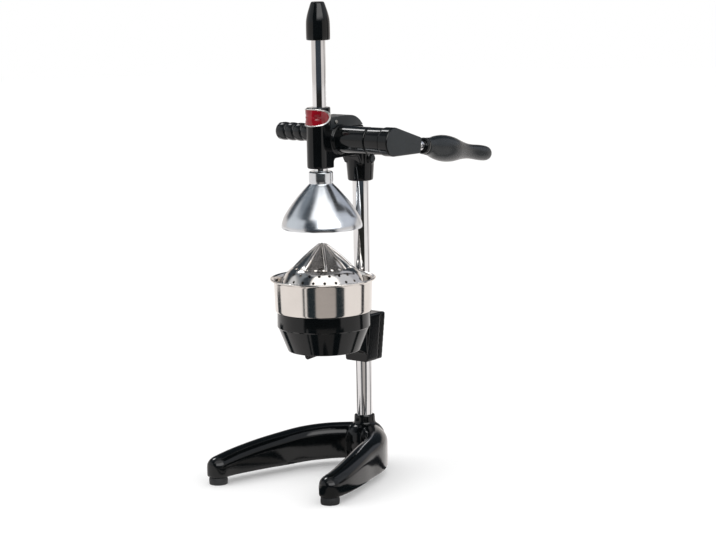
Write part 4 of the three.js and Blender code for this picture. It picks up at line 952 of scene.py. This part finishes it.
def hang(made):
    """Turns a piece made along +Y from the shaft axis into the lever's resting place."""
    return moved(made, Matrix.Translation([c * MM for c in SHAFT]) @ Matrix.Rotation(-LEVER_DROOP, 4, "X"))


EYE, ARM_END, ARM_INNER, ARM_OUTER = 16.6, 9.2, 77.0, 91.0  # radius, half width, and the two sides of the arm
# The pieces in front of the arm, turned round the stem: name, section, slot, finish, node and segments
TURNED = [
    ("neck_nut_chromed", rounded([
        (STEM_BORE, 0.3), (6.3, 0.3, 0.5), (6.3, 7.6, 0.5), (5.9, 9, 0.4), (STEM_BORE, 9), (STEM_BORE, 0.3)]),
     "chromed_steel", "chrome_y", "neck_nut", MEDIUM),
    ("grip_collar_ring", rounded([
        (STEM_BORE, 9.3), (9.2, 9.3, 0.8), (9.7, 12.5, 2), (9.2, 15.9, 0.8), (STEM_BORE, 15.9),
        (STEM_BORE, 9.3)]),
     "gloss_black_paint", "enamel", "grip_collar", MEDIUM),
    ("lever_grip_turned", [(0, 134), (STEM_BORE, 134), (STEM_BORE, 16.2), *through([
        (8.7, 16.2), (9.8, 17.2), (10.8, 25.8), (13.3, 35.4), (15.1, 46.4), (15.4, 57.3), (14.4, 68.2),
        (12.6, 77.2), (10.6, 86.9), (9.0, 98.4), (8.6, 110.0), (9.1, 124.1), (8.9, 135.0), (7.7, 141.3),
        (4.6, 144.2), (0, 144.7)])],
     "black_grip", "grip", "lever_grip", FINE)]


class PRESS_OT_lever(bpy.types.Operator):
    """Casts the lever's arm and turns its neck nut, collar and grip"""

    bl_idname = "press.lever"
    bl_label = "Lever"

    def execute(self, context):
        lean = math.asin((EYE - ARM_END) / ARM_LENGTH)
        outline = [(EYE * math.cos(a), EYE * math.sin(a)) for a in
                   (math.pi / 2 - lean + (math.pi + 2 * lean) * k / 40 for k in range(41))]
        outline += [(ARM_LENGTH, -ARM_END), (ARM_LENGTH, ARM_END)]
        plate = bevelled(mesh_object("plate", slab_into(bmesh.new(), outline, ARM_INNER, ARM_OUTER)), 1.8)
        shapes = bmesh.new()
        shapes.from_mesh(plate.data)
        bmesh.ops.scale(shapes, vec=Vector((1 / MM,) * 3), verts=shapes.verts)
        bpy.data.objects.remove(plate)
        made = cast("lever_arm_casting", shapes, 0.65, 4)
        cut(made, drill_into(bmesh.new(), SHAFT_BORE, 50, 85.3, "X"))
        cut(made, drill_into(bmesh.new(), STEM_BORE, 35, 54, "Y", (LEVER_X, 0, 0), SMALL))
        for face in made.data.polygons:
            face.material_index = 1 if face.normal.x > 0.9 else 0
        ready(hang(made), "lever", "enamel", ("lever_arm",), second="satin")
        hub = revolve("lever_hub", rounded([
            (SHAFT_BORE, 57.3), (15.5, 57.3, 1.4), (15.5, 76.6, 0.6), (14.9, 78), (SHAFT_BORE, 78),
            (SHAFT_BORE, 57.3)]), "X", segments=MEDIUM)
        ready(hang(hub), "lever", "enamel")
        for name, section, slot, key, node, segments in TURNED:
            piece = revolve(name, section, "Y", (LEVER_X, ARM_LENGTH, 0), segments)
            ready(hang(piece), "lever", key, (node,))
        return {"FINISHED"}


HANDLE_START, HANDLE_END, BULGES, BULGE_STEPS = 26.5, 77.0, 4, 12
HANDLE_TIP = 2.6  # length of its rounded end


class PRESS_OT_side_grip(bpy.types.Operator):
    """Moulds the steadying handle with its four bulges"""

    bl_idname = "press.side_grip"
    bl_label = "Steadying handle"

    def execute(self, context):
        end, steps = -HANDLE_END, BULGES * BULGE_STEPS
        profile = [(0, end), (6.0, end), (8.6, end + 0.8), (10.0, end + HANDLE_TIP)]
        for k in range(1, steps):
            along = k / BULGE_STEPS
            radius = 9.1 + 1.5 * abs(math.sin(math.pi * along)) ** 0.55
            if along < 0.35:
                radius = max(radius, 10.0)
            profile.append((radius, end + HANDLE_TIP + (HANDLE_END - HANDLE_START - HANDLE_TIP) * k / steps))
        profile += [(8.8, -HANDLE_START), (5.3, -HANDLE_START), (5.3, end + 6.7), (0, end + 6.7)]
        made = revolve("side_grip_moulded", profile, "X", (0, SHAFT_Y, SHAFT_Z + HANDLE_RISE), MEDIUM)
        ready(made, "frame", "handle", ("side_grip",), math.radians(60))
        return {"FINISHED"}


# Screws


CHAMFER_TOP, CHAMFER_FOOT = 0.86, 1.55  # radii of the cone that bevels a head, as shares of the head's


def screw_tree():
    """Stands one screw with a flat-sided or round head at each vertex of the given mesh."""
    tree, given, keys = open_tree("screw_set", {
        "Places": ("Geometry", None), "Head Sides": ("Int", 6), "Head Radius": ("Float", 0.0046),
        "Head Height": ("Float", 0.0044), "Shank Radius": ("Float", 0.0025), "Shank Length": ("Float", 0.02),
        "Turn": ("Vector", (0.0, 0.0, 0.0)), "Material": ("Material", None)})

    def times(name, factor):
        return math_node(tree, "MULTIPLY", given[name], factor)

    def lifted(shape, height):
        return outcome(tree, "GeometryNodeTransform", {0: shape, "Translation": vector_node(tree, Z=height)})

    head = lifted(outcome(tree, "GeometryNodeMeshCylinder", {
        "Vertices": given["Head Sides"], "Radius": given["Head Radius"], "Depth": given["Head Height"]}),
        times("Head Height", 0.5))
    crown = outcome(tree, "GeometryNodeMeshCone", {
        "Vertices": 32, "Radius Top": times("Head Radius", CHAMFER_TOP),
        "Radius Bottom": times("Head Radius", CHAMFER_FOOT), "Depth": given["Head Height"]})
    chamfered = joined(tree, "GeometryNodeMeshBoolean", 1, head, crown, operation="INTERSECT", solver="EXACT")
    shank = lifted(outcome(tree, "GeometryNodeMeshCylinder", {
        "Vertices": 24, "Radius": given["Shank Radius"], "Depth": given["Shank Length"]}),
        times("Shank Length", -0.49))
    screw = joined(tree, "GeometryNodeJoinGeometry", 0, chamfered, shank)
    spots = outcome(tree, "GeometryNodeMeshToPoints", {0: given["Places"]})
    placed = outcome(tree, "GeometryNodeInstanceOnPoints", {
        0: spots, "Instance": screw, "Rotation": given["Turn"]})
    close_tree(tree, placed, given["Material"])
    return tree, keys


# Each set of screws: name, places, turn, then the head's sides, radius and height with the shank's radius and
# length, the nodes that it replaces, its slot and its finish
QUARTER = math.pi / 2
COVER_SCREW = (24, 2.2, 1.5, 1.5, 4.6)
SCREWS = [
    ("clamp_screws_sunk", [clamp_screw_place(side, height, 11.1) for side, height in CLAMP_SCREWS],
     (-QUARTER, 0, 0), (32, 3.5, 3.5, 2.0, 17.8), ["clamp_screw_%d" % n for n in (1, 2, 3, 4)],
     "satin_black_paint", "satin"),
    ("cover_screw_right", [(12.6, -60.5, SHELF + 7.6)], (0, QUARTER, 0), COVER_SCREW, ["cover_screw_1"],
     "plain_steel", "steel"),
    ("cover_screw_left", [(-12.6, -60.5, SHELF + 7.6)], (0, -QUARTER, 0), COVER_SCREW, ["cover_screw_2"],
     "plain_steel", "steel"),
    ("head_screw_round", [(17.7, 0, HEAD_SCREW_Z)], (0, QUARTER, 0), (32, 4.2, 1.6, 3.0, 8.0),
     ["head_set_screw"], "satin_black_paint", "satin")]


class PRESS_OT_screws(bpy.types.Operator):
    """Sets the clamp screws, the cover screws and the screw that locks the head on the column"""

    bl_idname = "press.screws"
    bl_label = "Screws"

    def execute(self, context):
        opened = screw_tree()
        for name, places, turn, (sides, radius, height, shank, length), nodes, slot, key in SCREWS:
            mesh = bpy.data.meshes.new(name)
            mesh.from_pydata([tuple(c * MM for c in place) for place in places], [], [])
            made = grow(link_object(name, mesh), opened, {
                "Head Sides": sides, "Head Radius": radius * MM, "Head Height": height * MM, "Turn": turn,
                "Shank Radius": shank * MM, "Shank Length": length * MM, "Material": FINISH[key]})
            ready(made, "frame", key, nodes, CRISP_ANGLE)
        return {"FINISHED"}


# Inner pieces, which keep the shape of their solids


INNER = {
    "steel": ["column_bolt", "column_washer", "column_plug", "front_right_foot_screw",
              "front_left_foot_screw", "bell_washer", "bell_screw", "pinion", "pinion_shaft", "pinion_key",
              "hub_set_screw", "lever_stem", "side_grip_stud", "side_grip_locknut"],
    "bronze": ["shaft_bush_left", "shaft_bush_inner", "shaft_bush_outer"],
}


class PRESS_OT_inner(bpy.types.Operator):
    """Gives the gears, shafts, bushes and bolts inside their machined finishes"""

    bl_idname = "press.inner"
    bl_label = "Inner pieces"

    def execute(self, context):
        for key, nodes in INNER.items():
            for node in nodes:
                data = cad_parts[node].data
                data.materials.clear()
                data.materials.append(FINISH[key])
        return {"FINISHED"}


# Finishes and stage


class PRESS_OT_finishes(bpy.types.Operator):
    """Mixes every finish from the colours in the settings"""

    bl_idname = "press.finishes"
    bl_label = "Finishes"

    def execute(self, context):
        chosen = context.scene.press_finishes
        FINISH.update({
            "enamel": stove_enamel(chosen.enamel, chosen.enamel_roughness),
            "satin": satin_enamel(chosen.satin),
            "grip": moulded_phenolic("moulded_grip", chosen.grip, 0.22, 0.32),
            "handle": moulded_phenolic("moulded_handle", chosen.rubber, 0.14, 0.22),
            "rubber": black_rubber(chosen.rubber),
            "chrome_z": chrome_plate("chrome_on_bar", chosen.chrome, (0.02, 0.02, 1.0)),
            "chrome_y": chrome_plate("chrome_on_nut", chosen.chrome, (0.02, 1.0, 0.02)),
            "stainless": pressed_stainless(chosen.stainless),
            "aluminium": polished_aluminium(chosen.aluminium),
            "steel": machined_metal("machined_steel", "#a8a8a4", 0.25, 0.4),
            "bronze": machined_metal("bearing_bronze", "#a8743c", 0.3, 0.45),
            "nickel": machined_metal("nickel_rim", "#f0eeea", 0.35, 0.5),
            "red": vitreous_red(chosen.badge),
        })
        return {"FINISHED"}


WHITE = (1.0, 1.0, 1.0, 1.0)

# What polished metal sees. Bearings run from the front towards the right, in degrees. A row holds the first
# and last bearing, the first and last elevation (or metre of the floor), the colour and, where it isn't 1,
# the level. Later rows cover earlier ones.
WORLD_PANELS = [
    (-180, -11, -90, 13, "#f0eae6"), (80, 180, -90, 13, "#f0eae6"), (118, 180, 13, 60, "#c8ccd6"),
    (138, 149, -90, 13, "#3c3e42"), (-180, 180, 66, 90, "#b4b8be"), (-130, -43, 38, 62, "#8a929a"),
    (-85, -17, 3, 38, "#e8ecf0"), (9, 100, 33, 70, "#d8dde4"), (24, 150, 12, 64, "#e4e8f0"),
    (28, 95, 18, 62, "#ffffff", 4.5), (-8, 100, 46, 80, "#ffffff", 1.8), (-180, 180, 80, 90, "#f0f4f8"),
    (-112, -98, 44, 56, "#ffffff", 14.0)]
WORLD_GROUND, WORLD_EDGE = "#3e464e", 0.07
NEAR, FAR = 1.1, 9
FLOOR_PANELS = [
    (-11, 80, NEAR, FAR, "#2c2b29"), (20, 68, 0, NEAR, "#bcb6b2"), (-98, -80, 0, NEAR, "#2a3338"),
    (-10, -5, 0, NEAR, "#2a3338"), (0, 21, 0, NEAR, "#2a3338"), (67, 88, 0, NEAR, "#2a3338"),
    (138, 149, 0, FAR, "#3c3e42")]
FLOOR_GROUND, FLOOR_LEVEL, FLOOR_EDGE = "#f4f0ee", 1.2, 0.03
FLOOR_RADIUS = 6000  # in millimetres, like the pieces
GLOW_LEVEL, GLOW_SHARE = 1.4, 0.15  # of the white that only the camera sees on the floor


def within(tree, value, low, high, edge):
    """One between low and high, falling to nothing over the edge."""
    off = math_node(tree, "ABSOLUTE", math_node(tree, "SUBTRACT", value, (low + high) / 2))
    half = (high - low) / 2
    return outcome(tree, "ShaderNodeMapRange", {
        "Value": off, "From Min": half + edge, "From Max": half - edge})


def panels(tree, rows, ground, bearing, second, unit, edge):
    """Paints the rows over the ground colour, by bearing and by elevation or distance."""
    seen = ground
    for first, last, low, high, colour, *level in rows:
        share = math_node(tree, "MULTIPLY",
                          within(tree, bearing, math.radians(first), math.radians(last), edge),
                          within(tree, second, unit(low), unit(high), edge))
        seen = mixed(tree, share, seen, [c * math.prod(level) for c in linear(colour)])
    return seen


def bearing_of(tree, x, y):
    return math_node(tree, "ARCTAN2", x, math_node(tree, "MULTIPLY", y, -1.0))


def place_parts(tree, kind):
    """X, Y and Z of the place that is shaded."""
    place = add_node(tree, "ShaderNodeTexCoord").outputs[kind]
    return add_node(tree, "ShaderNodeSeparateXYZ", {0: place}).outputs


def light_node(tree, kind, colour, strength=1.0):
    return outcome(tree, "ShaderNode" + kind, {"Color": colour, "Strength": strength})


def mix_shader(tree, share, first, second):
    return outcome(tree, "ShaderNodeMixShader", {0: share, 1: first, 2: second})


def studio_world():
    """A white studio that polished metal sees as soft light panels with dark screens between them."""
    world = bpy.data.worlds.new("studio")
    world.use_nodes = True
    tree = world.node_tree
    tree.nodes.clear()
    parts = place_parts(tree, "Generated")
    seen = panels(tree, WORLD_PANELS, linear(WORLD_GROUND), bearing_of(tree, parts["X"], parts["Y"]),
                  math_node(tree, "ARCSINE", parts["Z"]), math.radians, WORLD_EDGE)
    rays = add_node(tree, "ShaderNodeLightPath").outputs
    white = light_node(tree, "Background", WHITE)
    lit = mix_shader(tree, rays["Is Glossy Ray"], white, light_node(tree, "Background", seen))
    add_node(tree, "ShaderNodeOutputWorld", {"Surface": mix_shader(tree, rays["Is Camera Ray"], lit, white)})
    return world


def studio_floor(colour):
    """Pale matt floor that keeps its shadow, lifted a little for the camera. Metal sees its panels."""
    made, tree = new_material("studio_floor")
    clouds = spread(tree, stretched_noise(tree, 0.02), 0.0, 1.0)
    paint = mixed(tree, clouds, colour, [c * 0.985 for c in colour])
    matt = outcome(tree, "ShaderNodeBsdfDiffuse", {"Color": paint})
    parts = place_parts(tree, "Object")
    across, deep = parts["X"], math_node(tree, "SUBTRACT", parts["Y"], PLUNGER_Y * MM)
    squares = math_node(tree, "ADD", math_node(tree, "MULTIPLY", across, across),
                        math_node(tree, "MULTIPLY", deep, deep))
    bands = panels(tree, FLOOR_PANELS, [c * FLOOR_LEVEL for c in linear(FLOOR_GROUND)],
                   bearing_of(tree, across, deep), math_node(tree, "SQRT", squares), float, FLOOR_EDGE)
    rays = add_node(tree, "ShaderNodeLightPath").outputs
    seen = math_node(tree, "MULTIPLY", rays["Is Camera Ray"], GLOW_SHARE)
    lit = mix_shader(tree, seen, matt, light_node(tree, "Emission", WHITE, GLOW_LEVEL))
    both = mix_shader(tree, rays["Is Glossy Ray"], lit, light_node(tree, "Emission", bands))
    add_node(tree, "ShaderNodeOutputMaterial", {"Surface": both})
    return made


PHOTO_WIDTH, SENSOR_MM = 716.0, 36.0
FOCAL = 2413.6  # in pixels of the photograph
AIM_RIGHT, AIM_DOWN = 16.95, 26.99  # the press stands this many pixels left of and above the middle
ROLL = math.radians(-1.016)  # the photograph leans by this much
TARGET = Vector((0, -0.04, 0.27))
# Lamps: name, place, size in metres, power in watts
LAMPS = [("key", (-1.1, -1.5, 1.7), 1.3, 7.0), ("fill", (1.8, -1.2, 0.9), 1.2, 3.0),
         ("rim", (0.9, 1.7, 1.5), 1.0, 4.0)]


class PRESS_OT_stage(bpy.types.Operator):
    """Sets the camera, the floor, the lamps and the white studio"""

    bl_idname = "press.stage"
    bl_label = "Stage"

    def execute(self, context):
        chosen = context.scene.press_stage
        azimuth, elevation = chosen.camera_azimuth, chosen.camera_elevation
        back = Vector((math.sin(azimuth) * math.cos(elevation), -math.cos(azimuth) * math.cos(elevation),
                       math.sin(elevation)))
        right = Vector((math.cos(azimuth), math.sin(azimuth), 0))
        up = back.cross(right)
        sight = -back + right * AIM_RIGHT / FOCAL - up * AIM_DOWN / FOCAL
        camera = link_object("camera", bpy.data.cameras.new("camera"))
        camera.data.sensor_width = SENSOR_MM
        camera.data.lens = FOCAL * SENSOR_MM / PHOTO_WIDTH
        camera.data.clip_end = 50
        camera.matrix_world = (Matrix.Translation(TARGET + back * chosen.camera_distance)
                               @ sight.to_track_quat("-Z", "Y").to_matrix().to_4x4()
                               @ Matrix.Rotation(ROLL, 4, "Z"))
        context.scene.camera = camera

        work = bmesh.new()
        bmesh.ops.create_circle(work, cap_ends=True, radius=FLOOR_RADIUS, segments=64)
        floor = mesh_object("floor", work)
        floor.data.materials.append(studio_floor(chosen.floor))

        for name, place, size, power in LAMPS:
            lamp = link_object(name, bpy.data.lights.new(name, "AREA"))
            lamp.data.shape, lamp.data.size, lamp.data.energy = "SQUARE", size, power
            lamp.location = place
            lamp.rotation_mode = "QUATERNION"
            lamp.rotation_quaternion = (TARGET - Vector(place)).to_track_quat("-Z", "Y")
            lamp.visible_glossy = False
        context.scene.world = studio_world()
        context.scene.view_settings.view_transform = "Standard"
        return {"FINISHED"}


STEPS = (PRESS_OT_stage, PRESS_OT_finishes, PRESS_OT_base, PRESS_OT_feet, PRESS_OT_column, PRESS_OT_bowl,
         PRESS_OT_basin, PRESS_OT_strainer, PRESS_OT_head, PRESS_OT_cover, PRESS_OT_badge, PRESS_OT_plunger,
         PRESS_OT_bell, PRESS_OT_lever, PRESS_OT_side_grip, PRESS_OT_screws, PRESS_OT_inner)
GROUPS = {"press_finishes": PressFinishes, "press_sizes": PressSizes, "press_stage": PressStage}


class PRESS_PT_panel(bpy.types.Panel):
    bl_label = "Lever citrus press"
    bl_idname = "PRESS_PT_panel"
    bl_space_type = "VIEW_3D"
    bl_region_type = "UI"
    bl_category = "Press"

    def draw(self, context):
        for name in GROUPS:
            group = getattr(context.scene, name)
            box = self.layout.box()
            for key in group.__annotations__:
                box.prop(group, key)
        for step in STEPS:
            self.layout.operator(step.bl_idname)


def register():
    for made in (*GROUPS.values(), *STEPS, PRESS_PT_panel):
        bpy.utils.register_class(made)
    for name, group in GROUPS.items():
        setattr(bpy.types.Scene, name, bpy.props.PointerProperty(type=group))


def unregister():
    for name in GROUPS:
        delattr(bpy.types.Scene, name)
    for made in reversed((*GROUPS.values(), *STEPS, PRESS_PT_panel)):
        bpy.utils.unregister_class(made)


def main():
    register()
    for step in STEPS:
        section, name = step.bl_idname.split(".")
        getattr(getattr(bpy.ops, section), name)()


if __name__ == "__main__":
    main()
